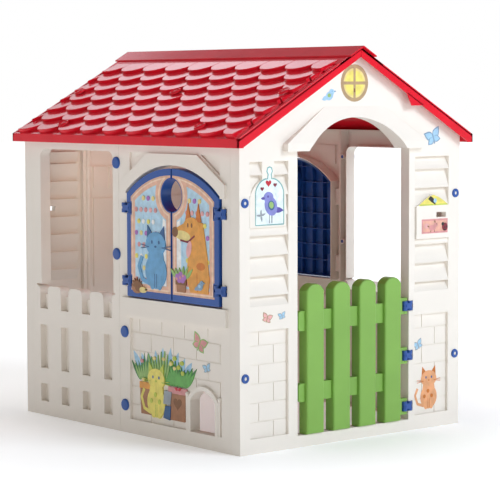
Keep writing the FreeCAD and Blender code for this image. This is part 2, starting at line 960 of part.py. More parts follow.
def soffit_tab_points():
    """A small web that hangs below the verge and stiffens it."""
    outer = half_width - soffit_tab_from_side
    inner = outer - soffit_tab_run
    low = roof_height(outer) - verge_drop
    return [
        (-inner, roof_height(inner) - verge_drop + over),
        (-outer, low + over),
        (-outer, low),
        (-inner - soffit_tab_slant, low),
        (-inner, roof_height(inner) - verge_drop),
    ]


def verges():
    """Webs that hang from both gable ends of the left slope."""
    peak_x = -ridge_joint_gap / 2
    foot_x = -roof_run + fascia_height
    outline = [
        (-roof_run, eave_bottom),
        (-roof_run, eave_top),
        (peak_x, roof_height(peak_x)),
        (peak_x, roof_height(peak_x) - verge_drop),
        (foot_x, eave_bottom + verge_foot),
        (foot_x, eave_bottom),
    ]
    rear = roof_end - roof_skin
    front_verge = roof_section(outline, -roof_end, -rear)
    rear_verge = roof_section(outline, rear, roof_end)
    tab = roof_section(soffit_tab_points(), rear, roof_end)
    return [front_verge, rear_verge, tab]


def roof_slope_skin():
    """The left slope's skin with its fascia along the eave."""
    peak_x = -ridge_joint_gap / 2
    thick = roof_skin * upright
    eave_in = -roof_run + roof_skin
    section = [
        (-roof_run, eave_bottom),
        (-roof_run, eave_top),
        (peak_x, roof_height(peak_x)),
        (peak_x, roof_height(peak_x) - thick),
        (eave_in, roof_height(eave_in) - thick),
        (eave_in, eave_bottom),
    ]
    return roof_section(section, -roof_end, roof_end)


def roof_panel():
    """The left slope, with a flat seat and a bore for each roof screw."""
    panel = fused([roof_slope_skin(), ridge_band()] + verges() + tile_steps())
    panel = panel.cut(tile_hollows())
    seats = []
    bores = []
    thick = roof_skin - roof_screw_recess
    room = roof_screw_head + over
    for x, y in roof_screw_places():
        start, inward = roof_screw_line(x, y)
        seats.append(rod(room + roof_skin, start - inward * roof_screw_recess, inward, thick))
        bores.append(rod(room, start, inward * -1, 2 * tile_rise))
        shank = roof_screw_shank + bore_clearance
        bores.append(rod(shank, start - inward * tile_rise, inward, roof_screw_length))
    return panel.multiFuse(seats).cut(bores)


def ridge_cap():
    """A folded cap over the joint of the two slopes."""
    y_end = half_depth + cap_overhang
    lift = ridge_band_rise + ridge_band_seat
    low = roof_height(cap_run) + lift
    peak = roof_height(0) + lift
    top = ridge_top
    section = [
        (-cap_run, low),
        (-cap_run, low + top - peak),
        (0, top),
        (cap_run, low + top - peak),
        (cap_run, low),
        (0, peak),
    ]
    return roof_section(section, -y_end, y_end)


def turned_half_round(shape):
    shape = shape.copy()
    shape.rotate(Vector(0, 0, 0), Vector(0, 0, 1), 180)
    return shape


def make_roof():
    """Both slopes are the same moulding, so each has its tab at its own right-hand end."""
    left = roof_panel()
    parts["left_roof_panel"] = left
    parts["right_roof_panel"] = turned_half_round(left)
    parts["ridge_cap"] = ridge_cap()


# ------------------------------------------------------------------------ gate
def gate_picket(centre, low, high):
    v0 = -picket_proud
    half = picket_width / 2
    rise = half * picket_crown
    picket = arched(centre, half, low, high - rise, rise, v0, v0 + picket_thickness)
    front = [e for e in picket.Edges if e.BoundBox.YMax < v0 + edge_tolerance]
    return picket.makeFillet(picket_edge, front)


def gate_hollows(centres, low, high):
    """The gate is moulded open at the back, like the walls."""
    v0 = -picket_proud + skin
    v1 = -picket_proud + picket_thickness + over
    rise = picket_width / 2 * picket_crown
    hollows = []
    for centre in centres:
        hollows.append(arched(centre, picket_width / 2, low, high - rise, rise, v0, v1, -skin))
    rail_v0 = -picket_proud + rail_setback + skin
    end = door_half - leaf_gap - skin
    for z0, z1 in rail_heights:
        hollows.append(block(-end, centres[-1], rail_v0, v1, z0 + skin, z1 - skin))
    return hollows


def gate_picket_places():
    first = -door_half + gate_free_margin + picket_width / 2
    last = door_half - gate_hinge_margin - picket_width / 2
    pitch = (last - first) / (picket_count - 1)
    return [first + pitch * i for i in range(picket_count)]


def gate():
    low = base_height + gate_ground_gap
    high = low + gate_height
    centres = gate_picket_places()
    pieces = [gate_picket(centre, low, high) for centre in centres]
    v0 = -picket_proud + rail_setback
    v1 = v0 + rail_thickness
    end = door_half - leaf_gap
    for z0, z1 in rail_heights:
        pieces.append(rounded_upright(-end, centres[-1], v0, v1, z0, z1, rail_rounding))
    for z in gate_clip_heights:
        half = lug_height / 2
        pieces.append(block(centres[-1], end, v0, v1, z - half, z + half))
    leaf = fused(pieces).cut(gate_hollows(centres, low, high))
    (pin_u, pin_v), jamb_pin = gate_pin_places()
    for z in gate_clip_heights:
        half = notch_height / 2
        notch_u = pin_u - barrel_radius - swing_room
        leaf = leaf.cut(block(notch_u, end + over, v0 - over, v1 + over, z - half, z + half))
        leaf = leaf.fuse(upright_pin(pin_u, pin_v, z))
    return leaf


def hinge_clip(leaf_pin, jamb_pin, z):
    """Two upright barrels, each with two lobes, joined by a web across their front."""
    pieces = []
    bores = []
    for u, v in (leaf_pin, jamb_pin):
        foot = Vector(u, v, z - clip_height / 2)
        upper = foot + Vector(0, 0, clip_height - clip_lobe_height)
        pieces.append(rod(barrel_radius - clip_waist, foot, Vector(0, 0, 1), clip_height))
        pieces.append(rod(barrel_radius, foot, Vector(0, 0, 1), clip_lobe_height))
        pieces.append(rod(barrel_radius, upper, Vector(0, 0, 1), clip_lobe_height))
        below = foot - Vector(0, 0, over)
        bores.append(rod(pin_radius + pin_clearance, below, Vector(0, 0, 1), clip_height + 2 * over))
    u0, u1 = sorted((leaf_pin[0], jamb_pin[0]))
    front = leaf_pin[1] - barrel_radius
    half = clip_web_height / 2
    pieces.append(block(u0, u1, front, front + clip_web, z - half, z + half))
    return pieces[0].multiFuse(pieces[1:]).cut(bores)


def clip_set(places, heights):
    leaf_pin, jamb_pin = places
    return Part.makeCompound([hinge_clip(leaf_pin, jamb_pin, z) for z in heights])


def make_gate():
    parts["gate"] = on_front(gate())
    parts["gate_hinge_clips"] = on_front(clip_set(gate_pin_places(), gate_clip_heights))


# -------------------------------------------------------------------- shutters
def leaf_outline(v0, v1, inset, meeting_inset):
    """One leaf, on the +u side of the window's middle."""
    whole = arched(0, shutter_half, shutter_low, shutter_spring, shutter_rise, v0, v1, -inset)
    near = meeting_gap / 2 + meeting_inset
    return whole.common(block(near, shutter_half, v0, v1, shutter_low, shutter_spring + shutter_rise))


def shutter_ribs(v0, v1):
    ribs = []
    half = shutter_skin / 2
    z = shutter_low + rib_pitch
    while z < shutter_spring + shutter_rise - rib_pitch / 2:
        ribs.append(block(0, shutter_half, v0, v1, z - half, z + half))
        z += rib_pitch
    u = rib_pitch + 2
    while u < shutter_half - rib_pitch / 2:
        ribs.append(block(u - half, u + half, v0, v1, shutter_low, shutter_spring + shutter_rise))
        u += rib_pitch
    return ribs


def peephole(radius, v0, v1):
    return rod(radius, Vector(0, v0, peephole_z), Vector(0, 1, 0), v1 - v0)


def pin_block(v0, v1, z):
    """Solid leaf edge that carries a pin."""
    half = notch_height / 2 + pin_boss
    inner = shutter_half - shutter_pin_inset - barrel_radius - swing_room - skin
    return block(inner, shutter_half, v0, v1, z - half, z + half)


def clip_notches(room):
    """Where the leaf's edge is cut away for the hinge clips to turn in."""
    u0 = shutter_half - shutter_pin_inset - barrel_radius - swing_room - room
    v1 = shutter_pin_depth + barrel_radius + pin_seat_room
    half = notch_height / 2 + room
    v0 = -shutter_proud - over
    u1 = shutter_half + over
    return [block(u0, u1, v0, v1, z - half, z + half) for z in shutter_clip_heights]


def shutter():
    v0 = -shutter_proud
    v1 = v0 + shutter_thickness
    floor = v0 + shutter_skin
    leaf = leaf_outline(v0, v1, 0.0, 0.0)
    hollow = leaf_outline(floor, v1 + over, shutter_skin, shutter_skin)
    ribs = shutter_ribs(floor - over, floor + rib_depth)
    collar = peephole(peephole_radius + shutter_skin, v0, v1 + over)
    blocks = [pin_block(v0, pan_depth / 2, z) for z in shutter_clip_heights]
    hollow = hollow.cut(ribs + [collar] + blocks)
    leaf = leaf.cut(hollow)
    leaf = leaf.cut(peephole(peephole_radius, v0 - over, v1 + over))
    leaf = leaf.cut(clip_notches(0.0))
    pin_u = shutter_half - shutter_pin_inset
    for z in shutter_clip_heights:
        leaf = leaf.fuse(upright_pin(pin_u, shutter_pin_depth, z))
    return leaf


def shutter_sticker():
    v1 = -shutter_proud
    sheet = leaf_outline(v1 - sticker, v1, shutter_border, meeting_border)
    hole = peephole(peephole_radius + peephole_border, v1 - over, v1 + over)
    return sheet.cut([hole] + clip_notches(sticker_notch_room))


def sheet(u, z, width, height, depth):
    half = width / 2
    low = z - height / 2
    return block(u - half, u + half, depth - sticker, depth, low, low + height)


def front_sheets():
    sheets = []
    spans = column_spans() + ((hood_half, half_width),)
    for index, offset, z, share, height, depth in column_pictures.values():
        u0, u1 = spans[index]
        width = u1 - u0
        sheets.append(sheet((u0 + u1) / 2 + offset * width, z, share * width, height, depth))
    for u, z, width, height in gable_pictures.values():
        sheets.append(sheet(u, z, width, height, 0.0))
    return sheets


def side_sheets():
    u0 = window_centre - side_brick_half + flower_brick_margin
    u1 = petdoor_centre - petdoor_edge - petdoor_post - flower_post_margin
    middle = (flower_low + flower_high) / 2
    sheets = [sheet((u0 + u1) / 2, middle, u1 - u0, flower_high - flower_low, brick_recess)]
    for offset, z, width, height in petdoor_pictures.values():
        sheets.append(sheet(petdoor_centre + offset, z, width, height, brick_recess))
    return sheets


def at_window(shape, side):
    """A shape drawn on the +u side of the window's middle, on the side asked for."""
    placed = shape.copy() if side > 0 else mirrored(shape)
    placed.translate(Vector(window_centre, 0, 0))
    return placed


def make_shutters():
    leaf = shutter()
    film = shutter_sticker()
    names = {("left", 1): "front", ("left", -1): "rear", ("right", 1): "rear", ("right", -1): "front"}
    for (wall, side), end in names.items():
        place = on_left if wall == "left" else on_right
        name = "_".join((wall, end, "shutter"))
        parts[name] = place(at_window(leaf, side))
        parts[name + "_sticker"] = place(at_window(film, side))
        parts[name + "_clips"] = place(clip_set(shutter_pin_places(side), shutter_clip_heights))


# ------------------------------------------------------------------- fasteners
def ring_screw(u, z):
    """A round-headed screw with a socket, turned by hand or coin."""
    outward = Vector(0, -1, 0)
    head = rod(ring_screw_head, Vector(u, 0, z), outward, ring_screw_rise)
    rim = [e for e in head.Edges if abs(e.BoundBox.YMin + ring_screw_rise) < edge_tolerance and e.Closed]
    head = head.makeFillet(ring_screw_rise * ring_screw_round, rim[:1])
    shank = rod(ring_screw_shank, Vector(u, -over, z), Vector(0, 1, 0), corner_return + skin + 3 * over)
    socket = rod(ring_screw_socket, Vector(u, -ring_screw_rise - over, z), Vector(0, 1, 0), ring_screw_rise)
    return head.fuse(shank).cut(socket)


def seam_cap(u, z):
    head = rod(seam_cap_radius, Vector(u, 0, z), Vector(0, -1, 0), seam_cap_rise)
    rim = [e for e in head.Edges if abs(e.BoundBox.YMin + seam_cap_rise) < edge_tolerance and e.Closed]
    head = head.makeFillet(seam_cap_rise * seam_cap_round, rim[:1])
    shank = rod(seam_cap_shank, Vector(u, -over, z), Vector(0, 1, 0), pan_depth + over)
    return head.fuse(shank)


def roof_screw(x, y):
    start, inward = roof_screw_line(x, y)
    head = rod(roof_screw_head, start, inward * -1, roof_screw_rise)
    shank = rod(roof_screw_shank, start - inward, inward, roof_screw_length)
    return head.fuse(shank)


def make_fasteners():
    rings = Part.makeCompound([ring_screw(u, z) for u, z in ring_screw_places()])
    parts["front_corner_screws"] = on_front(rings)
    parts["back_corner_screws"] = on_back(rings)
    caps = Part.makeCompound([seam_cap(u, z) for u, z in cap_places()])
    parts["left_seam_caps"] = on_left(caps)
    parts["right_seam_caps"] = on_right(caps)
    screws = Part.makeCompound([roof_screw(x, y) for x, y in roof_screw_places()])
    parts["left_roof_screws"] = screws
    parts["right_roof_screws"] = mirrored(screws)


def make_wall_stickers():
    parts["front_wall_stickers"] = on_front(Part.makeCompound(front_sheets()))
    parts["left_wall_stickers"] = on_left(Part.makeCompound(side_sheets()))


def write_parts():
    os.makedirs("parts", exist_ok=True)
    for name, shape in parts.items():
        shape.exportStep(os.path.join("parts", name + ".step"))


make_gable_walls()
make_side_walls()
make_roof()
make_gate()
make_shutters()
make_fasteners()
make_wall_stickers()
write_parts()
for name, shape in parts.items():
    print(name, len(shape.Solids), round(shape.Volume / cubic_mm_in_cm, 1), shape.isValid())
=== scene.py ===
import math

import bmesh
import bpy
from mathutils import Matrix, Vector


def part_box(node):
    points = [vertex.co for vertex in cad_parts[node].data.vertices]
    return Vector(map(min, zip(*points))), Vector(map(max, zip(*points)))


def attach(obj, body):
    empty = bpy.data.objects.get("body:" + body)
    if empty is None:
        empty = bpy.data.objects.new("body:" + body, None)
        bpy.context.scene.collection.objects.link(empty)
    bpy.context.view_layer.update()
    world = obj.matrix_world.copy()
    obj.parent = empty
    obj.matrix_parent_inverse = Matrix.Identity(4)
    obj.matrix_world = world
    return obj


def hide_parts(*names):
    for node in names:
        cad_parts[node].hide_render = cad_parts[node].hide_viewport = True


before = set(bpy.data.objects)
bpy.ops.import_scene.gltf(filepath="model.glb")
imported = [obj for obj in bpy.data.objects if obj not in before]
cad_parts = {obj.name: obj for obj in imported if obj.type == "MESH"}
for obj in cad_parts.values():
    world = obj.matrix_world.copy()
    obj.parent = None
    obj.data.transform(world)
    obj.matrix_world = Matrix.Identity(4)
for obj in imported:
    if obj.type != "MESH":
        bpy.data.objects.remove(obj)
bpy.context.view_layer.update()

MM_IN_M = 1000

# Places and sizes in metres, read from the frame; the rises and recesses are the part's own.
HALF_WIDTH = -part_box("left_picket_panel")[0].x
HOOD_PROUD = 0.019
HALF_DEPTH = -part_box("front_wall")[0].y - HOOD_PROUD
EAVE_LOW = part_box("left_roof_panel")[0].z
FASCIA = 0.019
CAP_RISE = 0.007
ROOF_RUN = -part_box("left_roof_panel")[0].x
ROOF_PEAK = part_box("ridge_cap")[1].z - CAP_RISE
ROOF_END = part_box("left_roof_panel")[1].y
ROOF_TOP = EAVE_LOW + FASCIA
ROOF_ANGLE = math.atan2(ROOF_PEAK - ROOF_TOP, ROOF_RUN)
SHUTTER_PROUD = 0.007
BRICK_RECESS = 0.008
MAILBOX_PROUD = 0.006


# ------------------------------------------------------------------ materials
def new_material(name):
    material = bpy.data.materials.new(name)
    material.use_nodes = True
    return material, material.node_tree, material.node_tree.nodes["Principled BSDF"]


def noise(tree, scale, detail=3.0, roughness=0.5):
    coords = tree.nodes.new("ShaderNodeTexCoord")
    texture = tree.nodes.new("ShaderNodeTexNoise")
    texture.inputs["Scale"].default_value = scale
    texture.inputs["Detail"].default_value = detail
    texture.inputs["Roughness"].default_value = roughness
    tree.links.new(coords.outputs["Object"], texture.inputs["Vector"])
    return texture.outputs["Fac"]


def ramp(tree, factor, low, high, start=0.35, end=0.65):
    node = tree.nodes.new("ShaderNodeValToRGB")
    node.color_ramp.elements[0].position = start
    node.color_ramp.elements[0].color = (*low, 1)
    node.color_ramp.elements[1].position = end
    node.color_ramp.elements[1].color = (*high, 1)
    tree.links.new(factor, node.inputs["Fac"])
    return node.outputs["Color"]


def spread(tree, value, low, high, start=0.3, end=0.7):
    """Maps a value from start..end to low..high; noise lies mostly between 0.3 and 0.7."""
    node = tree.nodes.new("ShaderNodeMapRange")
    for socket, number in zip(("From Min", "From Max", "To Min", "To Max"), (start, end, low, high)):
        node.inputs[socket].default_value = number
    tree.links.new(value, node.inputs["Value"])
    return node.outputs["Result"]


def bump(tree, height, strength, distance, normal=None):
    node = tree.nodes.new("ShaderNodeBump")
    node.inputs["Strength"].default_value = strength
    node.inputs["Distance"].default_value = distance
    tree.links.new(height, node.inputs["Height"])
    if normal:
        tree.links.new(normal, node.inputs["Normal"])
    return node.outputs["Normal"]


GLOSS_SCALE = 35.0
GLOSS_UNEVEN = 0.12
GRAIN_STRENGTH = 0.35
WAVE_SCALE = 14.0
WAVE_STRENGTH = 0.5


def plastic(name, colour, roughness, variation=0.03, grain=1400.0, grain_depth=0.00004, waviness=0.0,
            spots=9.0, ior=1.5):
    """Moulded plastic: mottled pigment, a fine moulded grain and uneven gloss."""
    material, tree, shader = new_material(name)
    darker = tuple(c * (1 - variation) for c in colour)
    lighter = tuple(min(1.0, c * (1 + variation)) for c in colour)
    tree.links.new(ramp(tree, noise(tree, spots), darker, lighter), shader.inputs["Base Color"])
    rough = spread(tree, noise(tree, GLOSS_SCALE), roughness * (1 - GLOSS_UNEVEN),
                   roughness * (1 + GLOSS_UNEVEN))
    tree.links.new(rough, shader.inputs["Roughness"])
    normal = bump(tree, noise(tree, grain, 2.0), GRAIN_STRENGTH, grain_depth)
    if waviness:
        normal = bump(tree, noise(tree, WAVE_SCALE, 1.0), WAVE_STRENGTH, waviness, normal)
    tree.links.new(normal, shader.inputs["Normal"])
    shader.inputs["IOR"].default_value = ior
    return material


WHITE = plastic("wall_white", (0.88, 0.825, 0.755), 0.5, 0.012, waviness=0.0006)
RED = plastic("roof_red", (0.74, 0.011, 0.028), 0.14, 0.06, grain=900.0, grain_depth=0.00002, ior=1.36)
GREEN = plastic("gate_green", (0.22, 0.44, 0.075), 0.42, 0.04)
BLUE = plastic("trim_blue", (0.014, 0.085, 0.36), 0.33, 0.06)


# ------------------------------------------------------------- mesh helpers
SHARP_EDGE = 40.0  # degrees: sharper edges than this are rounded
FLAT_WITHIN = 1.0  # degrees: flatter facets than this are merged


def add_object(name, mesh, body):
    piece = bpy.data.objects.new(name, mesh)
    bpy.context.scene.collection.objects.link(piece)
    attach(piece, body)
    return piece


def smooth_by_angle(mesh, degrees):
    mesh.shade_smooth()
    mesh.set_sharp_from_angle(angle=math.radians(degrees))


def ring(bm, centre, radius, steps, place):
    """Vertices round a circle; place maps the two offsets from the centre to a point."""
    along, across = centre
    points = []
    for i in range(steps):
        turn = 2 * math.pi * i / steps
        points.append(bm.verts.new(place(along + radius * math.cos(turn), across + radius * math.sin(turn))))
    return points


def join_rings(bm, rings, material=0):
    """Side faces between each ring of vertices and the next."""
    for lower, upper in zip(rings, rings[1:]):
        count = len(lower)
        for i in range(count):
            j = (i + 1) % count
            bm.faces.new((lower[i], lower[j], upper[j], upper[i])).material_index = material


def prism(bm, outline, start, stop, place, material=0):
    """A closed solid: outline is (a, b) pairs, place maps (a, b, c) to a point."""
    low = [bm.verts.new(place(a, b, start)) for a, b in outline]
    high = [bm.verts.new(place(a, b, stop)) for a, b in outline]
    for points in (low[::-1], high):
        bm.faces.new(points).material_index = material
    join_rings(bm, (low, high), material)


def finish_mesh(bm, name):
    bmesh.ops.recalc_face_normals(bm, faces=bm.faces)
    mesh = bpy.data.meshes.new(name)
    bm.to_mesh(mesh)
    bm.free()
    return mesh


def rounded(piece, width, segments=2):
    modifier = piece.modifiers.new("soft_edges", "BEVEL")
    modifier.width = width
    modifier.segments = segments
    modifier.limit_method = "ANGLE"
    modifier.angle_limit = math.radians(SHARP_EDGE)
    modifier.miter_outer = "MITER_ARC"


# ------------------------------------------------------------- CAD nodes
def dress(node, material, width, segments=2):
    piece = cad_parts[node]
    piece.data.materials.clear()
    piece.data.materials.append(material)
    for polygon in piece.data.polygons:
        polygon.material_index = 0
    flatten = piece.modifiers.new("flat_faces", "DECIMATE")
    flatten.decimate_type = "DISSOLVE"
    flatten.angle_limit = math.radians(FLAT_WITHIN)
    rounded(piece, width, segments)
    smooth = piece.modifiers.new("smooth", "WEIGHTED_NORMAL")
    smooth.keep_sharp = False


WALL_ROUND = 0.002
GATE_ROUND = 0.006
LEAF_ROUND = 0.0015
RING_ROUND = 0.0008
CAP_ROUND = 0.001
HEAD_ROUND = 0.0005


def dress_cad():
    for node in ("front_wall", "back_wall", "left_window_panel", "left_picket_panel",
                 "right_window_panel", "right_picket_panel"):
        dress(node, WHITE, WALL_ROUND)
    dress("ridge_cap", RED, WALL_ROUND)
    dress("gate", GREEN, GATE_ROUND, 4)
    for wall in ("left", "right"):
        dress(wall + "_seam_caps", BLUE, CAP_ROUND)
        dress(wall + "_roof_screws", RED, HEAD_ROUND)
        for end in ("front", "rear"):
            dress(f"{wall}_{end}_shutter", BLUE, LEAF_ROUND)
            dress(f"{wall}_{end}_shutter_clips", BLUE, LEAF_ROUND)
    dress("gate_hinge_clips", BLUE, LEAF_ROUND)
    for end in ("front", "back"):
        dress(end + "_corner_screws", BLUE, RING_ROUND)


SCREW_HEIGHTS = (0.6415, 0.197)
SCREW_INSET = 0.017
BOLT_PROFILE = ((0.0048, 0.0006), (0.0048, 0.0016), (0.0038, 0.0023), (0.0020, 0.0027))
BOLT_STEPS = 24
BOLT_SMOOTH = 40.0  # degrees, as for the tiles and the cups


def make_bolt_ends():
    """Pale domed bolt ends that show in the middle of the corner screws."""
    for end, sign in (("front", -1), ("back", 1)):
        bm = bmesh.new()
        for x in (-HALF_WIDTH + SCREW_INSET, HALF_WIDTH - SCREW_INSET):
            for z in SCREW_HEIGHTS:
                rings = []
                for radius, lift in BOLT_PROFILE:
                    y = sign * (HALF_DEPTH + lift)
                    rings.append(ring(bm, (x, z), radius, BOLT_STEPS, lambda a, b: Vector((a, y, b))))
                join_rings(bm, rings)
                bm.faces.new(rings[0])
                bm.faces.new(rings[-1])
        mesh = finish_mesh(bm, end + "_bolt_ends")
        mesh.materials.append(WHITE)
        smooth_by_angle(mesh, BOLT_SMOOTH)
        piece = add_object(end + "_bolt_ends", mesh, "house")


# ------------------------------------------------------------------------ roof
TILE_PITCH = 0.1037
TILE_ROWS = 7
ROW_PITCH = 0.0565
FIRST_ROW = 0.008
TILE_THICK = 0.014
TILE_SLOPE = 0.16
TILE_SAG = 0.036
TILE_LENGTH = 0.084
TILE_EDGE = 0.0015
TILE_MARGIN = 0.024
TILE_STEPS = 20
TILE_SMOOTH = 25.0
WELD = 0.00001
LEAST_TILE = 0.012  # narrower slivers beside the verge are left out
SINK = 0.001  # how far a raised piece reaches into the roof skin
LIP_WIDTH = 0.007
LIP_RISE = 0.0035
TAB_OUTER = 0.231
TAB_INNER = 0.167
TAB_SLANT = 0.019
BAND_START = 0.391
BAND_RISE = 0.003
ROOF_SKIN = 0.004
VERGE_DROP = 0.022
VERGE_FOOT = 0.002
VERGE_ROUND = 0.0015
PEAK = 0.0005  # half the gap between the slopes at the ridge


def slope_place(side):
    """Maps (along the slope, y, height above it) to a point; side -1 is the left slope."""
    run = Vector((-side * math.cos(ROOF_ANGLE), 0, math.sin(ROOF_ANGLE)))
    normal = Vector((side * math.sin(ROOF_ANGLE), 0, math.cos(ROOF_ANGLE)))
    eave = Vector((side * ROOF_RUN, 0, ROOF_TOP))
    return lambda s, y, h: eave + run * s + normal * h + Vector((0, y, 0))


def tile_outline(low, centre, inset):
    """Scalloped lower edge and straight sides, kept inside the verges."""
    half = TILE_PITCH / 2 - inset
    radius = (half * half + TILE_SAG * TILE_SAG) / (2 * TILE_SAG)
    limit = ROOF_END - TILE_MARGIN - inset
    points = []
    for i in range(TILE_STEPS + 1):
        offset = -half + 2 * half * i / TILE_STEPS
        rise = radius - math.sqrt(radius * radius - offset * offset)
        y = max(-limit, min(limit, centre + offset))
        points.append((low + inset + rise, y))
    top = low + TILE_LENGTH
    points.append((top, points[-1][1]))
    points.append((top, points[0][1]))
    return points


def add_tile(bm, low, centre, place):
    """A tile thins out towards its top, and its edge is chamfered."""
    rings = []
    for inset, drop in ((0.0, None), (0.0, TILE_EDGE), (TILE_EDGE, 0.0)):
        points = []
        for s, y in tile_outline(low, centre, inset):
            height = -SINK if drop is None else TILE_THICK - TILE_SLOPE * (s - low) - drop
            points.append(bm.verts.new(place(s, y, height)))
        rings.append(points)
    bm.faces.new(rings[0][::-1])
    bm.faces.new(rings[2])
    join_rings(bm, rings)


def tile_centres(row):
    """Places of one row's tiles along the house; every other row is shifted by half a tile."""
    reach = ROOF_END - TILE_MARGIN + TILE_PITCH / 2
    shift = 0.5 if row % 2 == 0 else 0.0
    count = int(reach / TILE_PITCH) + 1
    centres = [(i + shift) * TILE_PITCH for i in range(-count, count + 1)]
    return [c for c in centres if abs(c) < reach - LEAST_TILE]


def make_tiles(side, name):
    bm = bmesh.new()
    place = slope_place(side)
    for row in range(TILE_ROWS):
        for centre in tile_centres(row):
            add_tile(bm, FIRST_ROW + row * ROW_PITCH, centre, place)
    bmesh.ops.remove_doubles(bm, verts=bm.verts, dist=WELD)
    mesh = finish_mesh(bm, name)
    mesh.materials.append(RED)
    smooth_by_angle(mesh, TILE_SMOOTH)
    return add_object(name, mesh, "house")


def roof_height(x):
    return ROOF_TOP + math.tan(ROOF_ANGLE) * (ROOF_RUN - x)


def raised_strip(outer, rise):
    """Section of a low strip that lies on the slope, from outer up to the ridge."""
    return [
        (outer, roof_height(outer) - SINK), (outer, roof_height(outer) + rise),
        (PEAK, roof_height(PEAK) + rise), (PEAK, roof_height(PEAK) - SINK),
    ]


def skin_section():
    thick = ROOF_SKIN / math.cos(ROOF_ANGLE)
    rim = ROOF_RUN - ROOF_SKIN
    return [
        (ROOF_RUN, EAVE_LOW), (ROOF_RUN, ROOF_TOP), (PEAK, roof_height(PEAK)),
        (PEAK, roof_height(PEAK) - thick), (rim, roof_height(rim) - thick), (rim, EAVE_LOW),
    ]


def verge_section():
    foot = ROOF_RUN - FASCIA
    return [
        (ROOF_RUN, EAVE_LOW), (ROOF_RUN, ROOF_TOP), (PEAK, roof_height(PEAK)),
        (PEAK, roof_height(PEAK) - VERGE_DROP), (foot, EAVE_LOW + VERGE_FOOT), (foot, EAVE_LOW),
    ]


def tab_section():
    """A small tab that hangs under the verge at one end of each slope."""
    inner = roof_height(TAB_INNER) - VERGE_DROP
    low = roof_height(TAB_OUTER) - VERGE_DROP
    return [
        (TAB_INNER, inner + SINK), (TAB_OUTER, low + SINK), (TAB_OUTER, low),
        (TAB_INNER + TAB_SLANT, low), (TAB_INNER, inner),
    ]


def eave_lip_section():
    inner = ROOF_RUN - LIP_WIDTH
    return [
        (ROOF_RUN, ROOF_TOP - SINK), (ROOF_RUN, ROOF_TOP + LIP_RISE),
        (inner, roof_height(inner) + LIP_RISE), (inner, roof_height(inner) - SINK),
    ]


def make_shell(side, name):
    """Roof skin with its fascia, verges, lips and the plain band by the ridge."""
    bm = bmesh.new()

    def place(x, z, y):
        return Vector((side * x, y, z))

    prism(bm, skin_section(), -ROOF_END, ROOF_END, place)
    for start in (-ROOF_END, ROOF_END - ROOF_SKIN):
        prism(bm, verge_section(), start, start + ROOF_SKIN, place)
    start = -ROOF_END if side > 0 else ROOF_END - ROOF_SKIN
    prism(bm, tab_section(), start, start + ROOF_SKIN, place)
    for start in (-ROOF_END, ROOF_END - LIP_WIDTH):
        prism(bm, raised_strip(ROOF_RUN, LIP_RISE), start, start + LIP_WIDTH, place)
    prism(bm, eave_lip_section(), -ROOF_END, ROOF_END, place)
    band = ROOF_RUN - BAND_START * math.cos(ROOF_ANGLE)
    prism(bm, raised_strip(band, BAND_RISE), -ROOF_END, ROOF_END, place)
    mesh = finish_mesh(bm, name)
    mesh.materials.append(RED)
    piece = add_object(name, mesh, "house")
    rounded(piece, VERGE_ROUND)
    return piece


CUP_PROFILE = ((17.0, 0.0), (16.5, 3.0), (14.5, 4.6), (12.0, 3.6), (10.5, 1.2), (8.0, 0.9),
               (7.6, 2.4), (5.0, 3.4))
CUP_PLACES = ((0.050, -0.306), (0.050, 0.306), (0.233, -0.452), (0.233, 0.452), (0.233, 0.0))
CUP_SEAT = 9.5
CUP_STEPS = 28
CUP_SMOOTH = 30.0


def make_screw_cups(side, name):
    """Raised rings in the tiles with a sunk screw head in each; the profile is in mm."""
    bm = bmesh.new()
    place = slope_place(side)
    for middle in CUP_PLACES:
        rings = []
        for radius, lift in CUP_PROFILE:
            height = (lift + CUP_SEAT) / MM_IN_M
            rings.append(ring(bm, middle, radius / MM_IN_M, CUP_STEPS, lambda a, b: place(a, b, height)))
        join_rings(bm, rings)
        bm.faces.new(rings[-1])
        bm.faces.new(rings[0][::-1])
    mesh = finish_mesh(bm, name)
    mesh.materials.append(RED)
    smooth_by_angle(mesh, CUP_SMOOTH)
    return add_object(name, mesh, "house")


def make_roof():
    for side, wall in ((-1, "left"), (1, "right")):
        shell = make_shell(side, wall + "_roof_shell")
        tiles = make_tiles(side, wall + "_roof_tiles")
        cups = make_screw_cups(side, wall + "_roof_screw_cups")
        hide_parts(wall + "_roof_panel")


